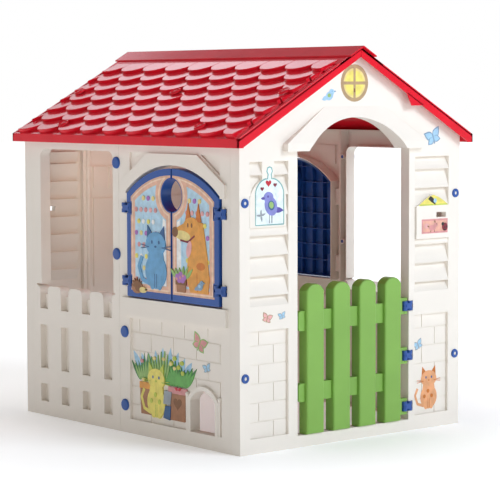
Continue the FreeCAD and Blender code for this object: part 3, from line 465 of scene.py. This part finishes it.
# ------------------------------------------------------------- printed pictures
# Outlines are in millimetres, (u, z) on the wall: u to the right as seen from
# outside, z up. Later shapes of a picture lie on earlier ones, each one a
# little higher than the last; the film and the step are in metres.
FILM = 0.0002
INK_STEP = 0.00006
INK_ROUGHNESS = 0.38
INK_VARIATION = 0.10
INK_GRAIN = 2500.0
INK_SPOTS = 60.0
ROUND_STEPS = 28
PETAL_STEPS = 10
INK_COLOURS = {
    "teal": (0.20, 0.42, 0.42), "pale_sky": (0.80, 0.90, 0.93), "violet": (0.24, 0.26, 0.62),
    "deep_violet": (0.10, 0.08, 0.38), "leaf": (0.30, 0.50, 0.16), "dark_leaf": (0.05, 0.22, 0.06),
    "bright_leaf": (0.13, 0.42, 0.09), "lime": (0.52, 0.60, 0.08), "red": (0.55, 0.01, 0.03),
    "maroon": (0.22, 0.01, 0.03), "yellow": (0.82, 0.72, 0.16), "straw": (0.80, 0.66, 0.26),
    "tan": (0.45, 0.31, 0.17), "sky": (0.36, 0.60, 0.80), "steel": (0.22, 0.36, 0.52),
    "pink": (0.80, 0.42, 0.42), "rose": (0.68, 0.30, 0.30), "peach": (0.78, 0.47, 0.34),
    "wood": (0.72, 0.44, 0.31), "light_wood": (0.86, 0.64, 0.50), "curtain": (0.47, 0.68, 0.84),
    "white": (0.90, 0.90, 0.89), "cat_blue": (0.13, 0.36, 0.62), "dark_blue": (0.03, 0.11, 0.28),
    "brown": (0.22, 0.09, 0.03), "clay": (0.38, 0.17, 0.08), "orange": (0.76, 0.34, 0.06),
    "deep_orange": (0.62, 0.18, 0.02), "salmon": (0.78, 0.42, 0.32), "purple": (0.40, 0.16, 0.50),
    "grey": (0.32, 0.36, 0.40), "black": (0.02, 0.02, 0.02), "cat_orange": (0.80, 0.38, 0.18),
}
inks = {}


def ink(name):
    if name not in inks:
        inks[name] = plastic("ink_" + name, INK_COLOURS[name], INK_ROUGHNESS, INK_VARIATION,
                             grain=INK_GRAIN, spots=INK_SPOTS)
    return inks[name]


def turned(u, z, a, b, turn):
    """The point (a, b) turned about the origin, then moved to (u, z)."""
    return (u + a * math.cos(turn) - b * math.sin(turn), z + a * math.sin(turn) + b * math.cos(turn))


def ellipse(u, z, half_u, half_z, tilt=0.0, start=0.0, stop=360.0):
    turn = math.radians(tilt)
    points = []
    for i in range(ROUND_STEPS if stop - start >= 360.0 else ROUND_STEPS + 1):
        angle = math.radians(start + (stop - start) * i / ROUND_STEPS)
        points.append(turned(u, z, half_u * math.cos(angle), half_z * math.sin(angle), turn))
    return points


def petal(u, z, length, width, angle):
    """A pointed leaf or wing that starts at (u, z)."""
    turn = math.radians(angle)
    points = []
    for side in (1, -1):
        for i in range(PETAL_STEPS):
            along = i / PETAL_STEPS if side > 0 else 1 - i / PETAL_STEPS
            b = side * width / 2 * math.sin(math.pi * along ** 0.8)
            points.append(turned(u, z, length * along, b, turn))
    return points


def heart(u, z, size):
    points = []
    for i in range(ROUND_STEPS):
        t = 2 * math.pi * i / ROUND_STEPS
        across = 16 * math.sin(t) ** 3
        up = 13 * math.cos(t) - 5 * math.cos(2 * t) - 2 * math.cos(3 * t) - math.cos(4 * t)
        points.append((u + size * across / 32, z + size * up / 32))
    return points


def stroke(points, width):
    """A line of even width through the points, as one outline."""
    left, right = [], []
    for i, (u, z) in enumerate(points):
        before = points[max(i - 1, 0)]
        after = points[min(i + 1, len(points) - 1)]
        du, dz = after[0] - before[0], after[1] - before[1]
        length = math.hypot(du, dz)
        nu, nz = -dz / length * width / 2, du / length * width / 2
        left.append((u + nu, z + nz))
        right.append((u - nu, z - nz))
    return left + right[::-1]


def on_front_wall(depth):
    return lambda u, z, v: Vector((u / MM_IN_M, -HALF_DEPTH + depth - v, z / MM_IN_M))


def on_side_wall(side, depth):
    return lambda u, z, v: Vector((side * (HALF_WIDTH - depth + v), side * u / MM_IN_M, z / MM_IN_M))


def make_picture(name, shapes, place, body):
    """shapes are (ink, outline) pairs, printed one over the other on a thin film."""
    bm = bmesh.new()
    names = []
    for layer, (colour, outline) in enumerate(shapes):
        if colour not in names:
            names.append(colour)
        stop = FILM + layer * INK_STEP
        prism(bm, outline, 0.0, stop, place, names.index(colour))
    mesh = finish_mesh(bm, name)
    for colour in names:
        mesh.materials.append(ink(colour))
    piece = add_object(name, mesh, body)
    return piece


def butterfly(u, z, size, tilt, colour, edge):
    shapes = []
    for side, fan in ((1, 38.0), (-1, 142.0)):
        shapes.append((edge, petal(u, z, size * 0.62, size * 0.40, fan + tilt)))
        shapes.append((colour, petal(u, z, size * 0.54, size * 0.30, fan + tilt)))
        low = fan - side * 62.0 + tilt
        shapes.append((edge, petal(u, z, size * 0.44, size * 0.32, low)))
        shapes.append((colour, petal(u, z, size * 0.37, size * 0.24, low)))
    up = math.radians(90.0 + tilt)
    head = (u + size * 0.22 * math.cos(up), z + size * 0.22 * math.sin(up))
    tail = (u - size * 0.26 * math.cos(up), z - size * 0.26 * math.sin(up))
    shapes.append((edge, stroke([tail, head], size * 0.07)))
    return shapes


def seated_cat(u, z, high, coat, shade, stripes):
    """A plain cat seen from the front; (u, z) is the middle of its feet."""
    s = high / 100.0
    shapes = [(coat, stroke([(u - 16 * s, z + 8 * s), (u - 36 * s, z + 14 * s), (u - 44 * s, z + 34 * s),
                             (u - 36 * s, z + 50 * s)], 7 * s))]
    shapes.append((coat, ellipse(u, z + 28 * s, 27 * s, 28 * s)))
    shapes.append((coat, ellipse(u, z + 44 * s, 20 * s, 30 * s)))
    for side in (-1, 1):
        shapes.append((coat, ellipse(u + side * 9 * s, z + 14 * s, 7 * s, 15 * s)))
        leg = u + side * 2.5 * s
        shapes.append((shade, stroke([(leg, z + 2 * s), (leg, z + 24 * s)], 1.4 * s)))
        tip = (u + side * 21 * s, z + 100 * s)
        shapes.append((shade, [(u + side * 6 * s, z + 84 * s), (u + side * 23 * s, z + 76 * s), tip]))
    shapes.append((coat, ellipse(u, z + 71 * s, 25 * s, 19 * s)))
    for side in (-1, 1):
        eye = u + side * 9 * s
        shapes.append(("dark_blue", ellipse(eye, z + 74 * s, 2.2 * s, 3.0 * s)))
        for rise in (-3.0, 3.0):
            whisker = [(u + side * 16 * s, z + 66 * s), (u + side * 38 * s, z + (66 + rise) * s)]
            shapes.append((shade, stroke(whisker, 1.1 * s)))
    shapes.append((shade, ellipse(u, z + 67 * s, 2.6 * s, 1.8 * s)))
    for row in range(stripes):
        level = z + 30 * s + row % 2 * 12 * s
        shapes.append((shade, ellipse(u - 14 * s + row * 12 * s, level, 4 * s, 4.5 * s)))
    return shapes


def bird_cage():
    u, low, shoulder, half = -295.0, 584.0, 662.0, 47.0
    rise = 41.0
    dome = [(u + half * math.cos(math.radians(a)), shoulder + rise * math.sin(math.radians(a)))
            for a in range(0, 181, 12)]
    neck = [(u + 7, dome[7][1] - 2), (u + 5, 712), (u + 9, 720), (u + 6, 729), (u, 731), (u - 6, 729),
            (u - 9, 720), (u - 5, 712), (u - 7, dome[7][1] - 2)]
    outline = [(u + half, low)] + dome[:7] + neck + dome[9:] + [(u - half, low)]
    shapes = [("pale_sky", outline), ("teal", stroke(outline + outline[:1], 3.4))]
    shapes.append(("red", heart(-299, 690, 19)))
    shapes += [("maroon", heart(-320, 676, 12)), ("maroon", heart(-277, 685, 12))]
    shapes.append(("grey", stroke([(-296, 616), (-296, 588)], 3)))
    shapes.append(("grey", stroke([(-288, 614), (-288, 588)], 4)))
    shapes.append(("deep_violet", petal(-284, 622, 36, 15, -4)))
    shapes.append(("violet", ellipse(-291, 632, 20, 26, 24)))
    shapes.append(("violet", ellipse(-299, 654, 16, 14)))
    shapes.append(("deep_violet", petal(-311, 652, 14, 7, 182)))
    shapes.append(("deep_violet", ellipse(-301, 656, 3.2, 3.2)))
    shapes.append(("dark_blue", ellipse(-290, 633, 10.5, 12.5, 20)))
    shapes.append(("leaf", ellipse(-290, 634, 7.5, 9, 20)))
    shapes += [("grey", petal(-324, 608, 16, 5, a)) for a in (20, 90, 175, 280)]
    shapes += [("pale_sky", petal(-268, 652, 14, 6, a)) for a in (30, 120, 250)]
    return shapes


def round_window():
    u, z = -1.5, 943.0
    shapes = [(colour, ellipse(u, z, radius, radius))
              for colour, radius in (("tan", 49), ("straw", 39), ("yellow", 33))]
    shapes.append(("tan", stroke([(u - 41, z), (u + 41, z)], 8)))
    shapes.append(("tan", stroke([(u, z - 41), (u, z + 41)], 8)))
    shapes += [("brown", stroke([(u, z - 24), (u, z - 14)], 5))]
    return shapes


def small_bird(u, z, size, coat, wing, facing):
    s = size / 46.0
    shapes = [(coat, petal(u - facing * 6 * s, z - 3 * s, 22 * s, 12 * s, 200 if facing > 0 else -20))]
    shapes.append((coat, ellipse(u, z, 14 * s, 11 * s, 30 * facing)))
    shapes.append((coat, ellipse(u + facing * 8 * s, z + 10 * s, 9 * s, 8 * s)))
    shapes.append((wing, ellipse(u - facing * 1 * s, z + 1 * s, 6 * s, 5 * s)))
    shapes.append(("steel", petal(u + facing * 15 * s, z + 11 * s, 9 * s, 4 * s, 5 if facing > 0 else 175)))
    shapes.append(("dark_blue", ellipse(u + facing * 9 * s, z + 12 * s, 1.4 * s, 1.4 * s)))
    return shapes


def mailbox_roof():
    roof = [(230, 611), (250, 624), (268, 634), (288, 640), (306, 634), (326, 624), (346, 611)]
    dark = [(267, 629), (276, 637), (286, 632), (294, 622), (296, 612), (280, 620)]
    shapes = [("yellow", roof), ("lime", stroke([(234, 613), (342, 613)], 3.5)), ("black", dark)]
    shapes.append(("sky", ellipse(294, 624, 6, 6)))
    return shapes


def mailbox_front():
    sheet = [(243, 535), (343, 535), (343, 574), (243, 574)]
    inner = [(249, 540), (338, 540), (338, 569), (249, 569)]
    shapes = [("rose", sheet), ("salmon", inner)]
    shapes += [("pink", ellipse(262, 556, 9, 7)), ("rose", ellipse(284, 550, 13, 8))]
    shapes += [("rose", ellipse(297, 558, 7, 6)), ("brown", ellipse(300, 560, 1.3, 1.3))]
    shapes.append(("brown", stroke([(278, 544), (277, 538)], 1.6)))
    shapes.append(("brown", stroke([(291, 544), (292, 538)], 1.6)))
    shapes += [("brown", petal(294, 563, 8, 4, 100)), ("brown", petal(272, 552, 9, 4, 150))]
    shapes += [("maroon", ellipse(332, 551, 11, 11)), ("black", ellipse(324, 559, 5, 5))]
    spots = ((331, 550), (338, 551), (333, 543), (328, 544))
    shapes += [("black", ellipse(u, z, 2.2, 2.2)) for u, z in spots]
    return shapes


def plant_tuft(rows):
    """Pointed leaves, each row as ink, count, left, right, foot, length, width and fan."""
    shapes = []
    for colour, count, left, right, foot, length, width, fan in rows:
        for i in range(count):
            share = i / (count - 1)
            lean = (share - 0.5) * fan
            reach = length * (1.0 + 0.18 * math.sin(5.3 * i))
            shapes.append((colour, petal(left + (right - left) * share, foot, reach, width, 90 - lean)))
    return shapes


def pot(left, right, low, high, wall, rim):
    lean = (right - left) * 0.12
    body = [(left + lean, low), (right - lean, low), (right - 3, high), (left + 3, high)]
    return [(wall, body), (rim, [(left, high - 3), (right, high - 3), (right, high + 14), (left, high + 14)])]


def flower_pots():
    shapes = plant_tuft([
        ("sky", 9, 58, 246, 176, 62, 22, 70), ("dark_leaf", 10, 50, 108, 150, 66, 9, 70),
        ("leaf", 9, 54, 104, 150, 50, 8, 60), ("dark_leaf", 12, 178, 250, 148, 62, 12, 80),
        ("bright_leaf", 13, 176, 252, 148, 50, 13, 84), ("leaf", 8, 110, 170, 165, 62, 8, 36),
    ])
    limes = ((205, 222), (236, 212), (192, 208), (222, 200), (240, 186))
    straws = ((118, 214), (158, 216), (190, 206), (70, 152), (206, 196))
    shapes += [("lime", ellipse(u, z, 7, 6)) for u, z in limes]
    shapes += [("straw", ellipse(u, z, 6, 5)) for u, z in straws]
    shapes += [("rose", ellipse(64, 202, 6, 5))]
    shapes += pot(54, 112, 60, 132, "clay", "orange")
    shapes += pot(180, 258, 58, 132, "clay", "rose")
    shapes.append(("brown", heart(220, 104, 36)))
    shapes += [("red", petal(222, 140, 16, 9, angle)) for angle in (20, 160)]
    shapes += seated_cat(128, 56, 146, "yellow", "lime", 3)
    boot = [(160, 60), (186, 56), (190, 66), (192, 94), (168, 92), (164, 76)]
    shapes += [("grey", [(160, 98), (190, 96), (196, 132), (164, 134)]), ("dark_blue", boot)]
    return shapes


# The window pictures: a sheet on each leaf, measured from the middle of the window.
SHEET_SIDE = 176.5
SHEET_NEAR = 4.5
SHEET_LOW = 393.0
ARCH_CENTRE = 420.1
ARCH_RADIUS = 283.9
HOLE_CENTRE = 652.0
WINDOW_MM = 211.5
NOTCH_EDGE = 172.0
NOTCH_HALF = 18.0
NOTCH_HEIGHTS = (416.0, 612.0)
CURVE_STEPS = 40


def leaf_shape(side, inset, near, hole):
    """One half of the arched window picture, drawn on the side asked for."""
    radius = ARCH_RADIUS - inset
    far = SHEET_SIDE - inset
    arch = [far + (near - far) * i / CURVE_STEPS for i in range(CURVE_STEPS + 1)]
    arch = [(x, ARCH_CENTRE + math.sqrt(radius * radius - x * x)) for x in arch]
    reach = math.acos(near / hole)
    around = [reach - 2 * reach * i / CURVE_STEPS for i in range(CURVE_STEPS + 1)]
    around = [(hole * math.cos(a), HOLE_CENTRE + hole * math.sin(a)) for a in around]
    points = [(near, SHEET_LOW + inset), (far, SHEET_LOW + inset)]
    if far > NOTCH_EDGE:
        for height in NOTCH_HEIGHTS:
            low, high = height - NOTCH_HALF, height + NOTCH_HALF
            points += [(far, low), (NOTCH_EDGE, low), (NOTCH_EDGE, high), (far, high)]
    points += [(x, z) for x, z in arch if math.hypot(x, z - HOLE_CENTRE) > hole]
    points += [(x, z) for x, z in around if math.hypot(x, z - ARCH_CENTRE) < radius]
    return [(WINDOW_MM + side * x, z) for x, z in points]


DOT_COLOURS = ("pink", "yellow", "straw", "rose", "white", "purple")
DOT_ROWS = 8
DOT_COLUMNS = 6
DOT_START = (46.0, 424.0)
DOT_PITCH = (21.0, 31.0)
DOT_SHIFT = 10.0
DOT_ARCH_GAP = 34.0
DOT_HOLE_GAP = 76.0


def curtain_dots(side, left, right):
    """Dots in shifted rows, clear of the arch above and of the round hole."""
    dots = []
    for row in range(DOT_ROWS):
        for column in range(DOT_COLUMNS):
            x = DOT_START[0] + column * DOT_PITCH[0] + (row % 2) * DOT_SHIFT
            z = DOT_START[1] + row * DOT_PITCH[1]
            height = ARCH_CENTRE + math.sqrt(ARCH_RADIUS ** 2 - x * x) - DOT_ARCH_GAP
            clear = math.hypot(x, z - HOLE_CENTRE) > DOT_HOLE_GAP
            if left < x < right and z < height and clear:
                colour = DOT_COLOURS[(row * 5 + column * 3) % len(DOT_COLOURS)]
                dots.append((colour, ellipse(WINDOW_MM + side * x, z, 6.0, 6.5)))
    return dots


def window_back(side):
    shapes = [("wood", leaf_shape(side, 0.0, SHEET_NEAR, 46.5))]
    shapes.append(("light_wood", leaf_shape(side, 5.0, SHEET_NEAR + 5.0, 51.0)))
    shapes.append(("peach", leaf_shape(side, 9.0, SHEET_NEAR + 9.0, 56.0)))
    shapes.append(("curtain", leaf_shape(side, 19.0, SHEET_NEAR + 18.0, 68.0)))
    inner = (WINDOW_MM + side * 24.0, WINDOW_MM + side * 42.0)
    fold = [(inner[0], 413), (inner[1], 413), (inner[1] - side * 5, 590), (inner[0], 584)]
    shapes.append(("white", fold))
    shapes += [("sky", stroke([(WINDOW_MM + side * x, 414), (WINDOW_MM + side * (x - 7), 596)], 3.0))
               for x in (50.0, 92.0, 128.0)]
    return shapes + curtain_dots(side, 56.0, 152.0)


def cat_window():
    shapes = window_back(-1)
    shapes += seated_cat(146, 402, 168, "cat_blue", "dark_blue", 0)
    shapes += [("clay", ellipse(64, 402, 23, 17)), ("brown", ellipse(70, 404, 15, 14))]
    shapes += [("brown", petal(64, 402, 26, 6, a)) for a in (40, 65, 90, 115, 140, 165)]
    shapes += [("straw", ellipse(90, 396, 14, 8)), ("black", ellipse(102, 397, 2.5, 2.5))]
    return shapes


def dog_window():
    shapes = window_back(1)
    body = [(292, 404), (364, 404), (370, 440), (362, 500), (344, 586), (306, 590), (290, 520), (274, 446)]
    shapes.append(("orange", body))
    shapes.append(("deep_orange", ellipse(336, 474, 18, 10)))
    shapes.append(("deep_orange", stroke([(322, 408), (320, 456)], 3)))
    for left in (272.0, 314.0):
        shapes.append(("deep_orange", [(left, 588), (left + 24, 588), (left + 12, 636)]))
    shapes.append(("orange", ellipse(298, 568, 36, 31)))
    shapes.append(("orange", [(228, 566), (300, 596), (300, 544), (250, 540)]))
    shapes.append(("straw", ellipse(262, 550, 32, 13, -6)))
    shapes.append(("brown", ellipse(230, 558, 13, 13)))
    shapes.append(("maroon", stroke([(252, 538), (284, 534), (312, 552)], 5)))
    shapes.append(("pink", ellipse(288, 516, 10, 22, -14)))
    shapes += [("brown", ellipse(u, 578, 3, 6)) for u in (284, 300)]
    shapes += pot(232, 276, 402, 424, "clay", "brown")
    shapes += plant_tuft([("leaf", 6, 234, 276, 438, 34, 10, 90)])
    blooms = ((240, 442), (254, 448), (268, 441), (248, 434), (262, 434))
    shapes += [("purple", ellipse(u, z, 9, 8)) for u, z in blooms]
    shapes += [("rose", ellipse(u, z, 4, 4)) for u, z in ((238, 436), (252, 440), (264, 446))]
    return shapes + small_bird(334, 422, 40, "steel", "sky", 1)


def make_pictures():
    wall = on_front_wall(0.0)
    cage = make_picture("bird_cage_picture", bird_cage(), wall, "house")
    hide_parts("front_wall_stickers")
    make_picture("round_window_picture", round_window(), wall, "house")
    make_picture("gable_bird_picture", small_bird(-90, 910, 46, "sky", "leaf", 1), wall, "house")
    make_picture("gable_butterfly_picture", butterfly(292, 794, 62, 20, "sky", "steel"), wall, "house")
    make_picture("band_butterfly_picture", butterfly(-305, 344, 36, -18, "pink", "tan"), wall, "house")
    make_picture("small_band_butterfly_picture", butterfly(-254, 347, 27, 12, "sky", "grey"), wall, "house")
    bricks = on_front_wall(BRICK_RECESS)
    make_picture("brick_butterfly_picture", butterfly(245, 229, 38, 24, "sky", "grey"), bricks, "house")
    cat = seated_cat(286, 51, 118, "cat_orange", "deep_orange", 3)
    make_picture("orange_cat_picture", cat, bricks, "house")
    box = on_front_wall(-MAILBOX_PROUD)
    make_picture("mailbox_roof_picture", mailbox_roof(), box, "house")
    make_picture("mailbox_front_picture", mailbox_front(), box, "house")
    side = on_side_wall(-1, BRICK_RECESS)
    pots = make_picture("flower_pot_picture", flower_pots(), side, "house")
    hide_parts("left_wall_stickers")
    make_picture("wall_butterfly_picture", butterfly(306, 268, 64, -24, "rose", "leaf"), side, "house")
    make_picture("small_wall_butterfly_picture", butterfly(338, 208, 34, 16, "sky", "grey"), side, "house")
    for wall_name, wall_side in (("left", -1), ("right", 1)):
        place = on_side_wall(wall_side, -SHUTTER_PROUD)
        cat_end, dog_end = ("rear", "front") if wall_name == "left" else ("front", "rear")
        for end, art in ((cat_end, cat_window()), (dog_end, dog_window())):
            shutter = f"{wall_name}_{end}_shutter"
            piece = make_picture(shutter + "_picture", art, place, shutter)
            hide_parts(shutter + "_sticker")


# ---------------------------------------------------------------- the studio
CAMERA_PLACE = (-3.6082, -4.3380, 0.9264)
CAMERA_YAW = 49.91
CAMERA_PITCH = -4.57
CAMERA_ROLL = -0.147
CAMERA_LENS = 144.45
WORLD_TOP = (0.30, 0.30, 0.31)
WORLD_TOP_RAMP = (0.30, 0.50)
WORLD_NEAR = (0.32, 0.305, 0.29)
WORLD_NEAR_RAMP = (0.2, 0.75)
# Name, place, target, width, height, power and colour of each softbox.
SOFTBOXES = (
    ("key", (1.6, -5.2, 3.4), (0, 0, 0.5), 2.6, 2.2, 186, (0.90, 0.99, 1.09)),
    ("fill", (-5.0, -1.2, 4.4), (0, 0, 0.4), 2.0, 2.0, 27, (1.0, 0.95, 0.85)),
    ("overhead", (-0.4, 0.4, 5.0), (0, 0, 0), 1.8, 1.8, 34, (1.0, 1.0, 1.0)),
    ("roof_sheen", (2.3, 5.9, 3.9), (0, 0, 0.95), 7.0, 1.0, 31, (1.0, 0.88, 0.98)),
    ("inside_bounce", (-0.22, 0.2, 0.72), (0.1, 0.48, 0.4), 0.2, 0.3, 0.32, (1.0, 0.83, 0.62)),
)
FLOOR_RADIUS = 30.0
# The floor glows: weaker near its middle, a painted shadow under the house, and stronger far off; distances
# from its middle and strengths.
GLOW_NEAR = 0.5
GLOW_EDGE = 0.95
GLOW_FAR = 4.5
# the glow nearest the house, kept low as a painted shadow
PAINTED_SHADOW_GLOW = 0.25
EDGE_STRENGTH = 0.47
FAR_EXTRA = 0.53


def make_camera():
    data = bpy.data.cameras.new("camera")
    data.lens = CAMERA_LENS
    data.sensor_width = 36.0
    data.clip_end = 100.0
    camera = bpy.data.objects.new("camera", data)
    bpy.context.scene.collection.objects.link(camera)
    yaw, pitch = math.radians(CAMERA_YAW), math.radians(CAMERA_PITCH)
    forward = Vector((math.cos(yaw) * math.cos(pitch), math.sin(yaw) * math.cos(pitch), math.sin(pitch)))
    right = forward.cross(Vector((0, 0, 1))).normalized()
    up = right.cross(forward)
    rotation = Matrix((right, up, -forward)).transposed()
    roll = Matrix.Rotation(math.radians(CAMERA_ROLL), 3, "Z")
    camera.matrix_world = Matrix.Translation(CAMERA_PLACE) @ (rotation @ roll).to_4x4()
    bpy.context.scene.camera = camera


def softbox(name, place, target, width, height, power, colour):
    data = bpy.data.lights.new(name, "AREA")
    data.shape = "RECTANGLE"
    data.size = width
    data.size_y = height
    data.energy = power
    data.color = colour
    light = bpy.data.objects.new(name, data)
    light.visible_camera = False
    bpy.context.scene.collection.objects.link(light)
    towards = Vector(target) - Vector(place)
    light.rotation_euler = towards.to_track_quat("-Z", "Y").to_euler()
    light.location = place


def make_world():
    """White behind the house for the camera, darker overhead and on the camera's side."""
    world = bpy.data.worlds.new("studio")
    bpy.context.scene.world = world
    world.use_nodes = True
    tree = world.node_tree
    background = tree.nodes["Background"]
    coords = tree.nodes.new("ShaderNodeTexCoord")
    split = tree.nodes.new("ShaderNodeSeparateXYZ")
    tree.links.new(coords.outputs["Generated"], split.inputs["Vector"])
    height = ramp(tree, split.outputs["Z"], (1.0, 1.0, 1.0), WORLD_TOP, *WORLD_TOP_RAMP)
    behind = tree.nodes.new("ShaderNodeVectorMath")
    behind.operation = "DOT_PRODUCT"
    yaw = math.radians(CAMERA_YAW)
    behind.inputs[1].default_value = (math.cos(yaw), math.sin(yaw), 0)
    tree.links.new(coords.outputs["Generated"], behind.inputs[0])
    around = ramp(tree, behind.outputs["Value"], WORLD_NEAR, (1.0, 1.0, 1.0), *WORLD_NEAR_RAMP)
    mix = tree.nodes.new("ShaderNodeMix")
    mix.data_type = "RGBA"
    mix.blend_type = "MULTIPLY"
    mix.inputs["Factor"].default_value = 1.0
    tree.links.new(height, mix.inputs["A"])
    tree.links.new(around, mix.inputs["B"])
    tree.links.new(mix.outputs["Result"], background.inputs["Color"])
    background.inputs["Strength"].default_value = 1.0
    bpy.context.scene.view_settings.view_transform = "Standard"


def make_lights():
    for values in SOFTBOXES:
        softbox(*values)


def make_floor():
    bm = bmesh.new()
    bmesh.ops.create_circle(bm, cap_ends=True, segments=96, radius=FLOOR_RADIUS)
    mesh = finish_mesh(bm, "floor")
    floor = bpy.data.objects.new("floor", mesh)
    bpy.context.scene.collection.objects.link(floor)
    material, tree, shader = new_material("floor_white")
    tree.links.new(ramp(tree, noise(tree, 1.5), (0.90, 0.90, 0.90), (0.93, 0.93, 0.93)),
                   shader.inputs["Base Color"])
    shader.inputs["Roughness"].default_value = 0.7
    shader.inputs["Specular IOR Level"].default_value = 0.0
    coords = tree.nodes.new("ShaderNodeTexCoord")
    reach = tree.nodes.new("ShaderNodeVectorMath")
    reach.operation = "LENGTH"
    tree.links.new(coords.outputs["Object"], reach.inputs[0])
    # the weaker glow near the middle is a painted shadow under the house
    painted_shadow_glow = spread(tree, reach.outputs["Value"], PAINTED_SHADOW_GLOW, EDGE_STRENGTH, GLOW_NEAR, GLOW_EDGE)
    far = spread(tree, reach.outputs["Value"], 0.0, FAR_EXTRA, GLOW_EDGE, GLOW_FAR)
    glow = tree.nodes.new("ShaderNodeMath")
    tree.links.new(painted_shadow_glow, glow.inputs[0])
    tree.links.new(far, glow.inputs[1])
    shader.inputs["Emission Color"].default_value = (1, 1, 1, 1)
    tree.links.new(glow.outputs["Value"], shader.inputs["Emission Strength"])
    mesh.materials.append(material)


dress_cad()
make_bolt_ends()
make_roof()
make_pictures()
make_camera()
make_world()
make_lights()
make_floor()
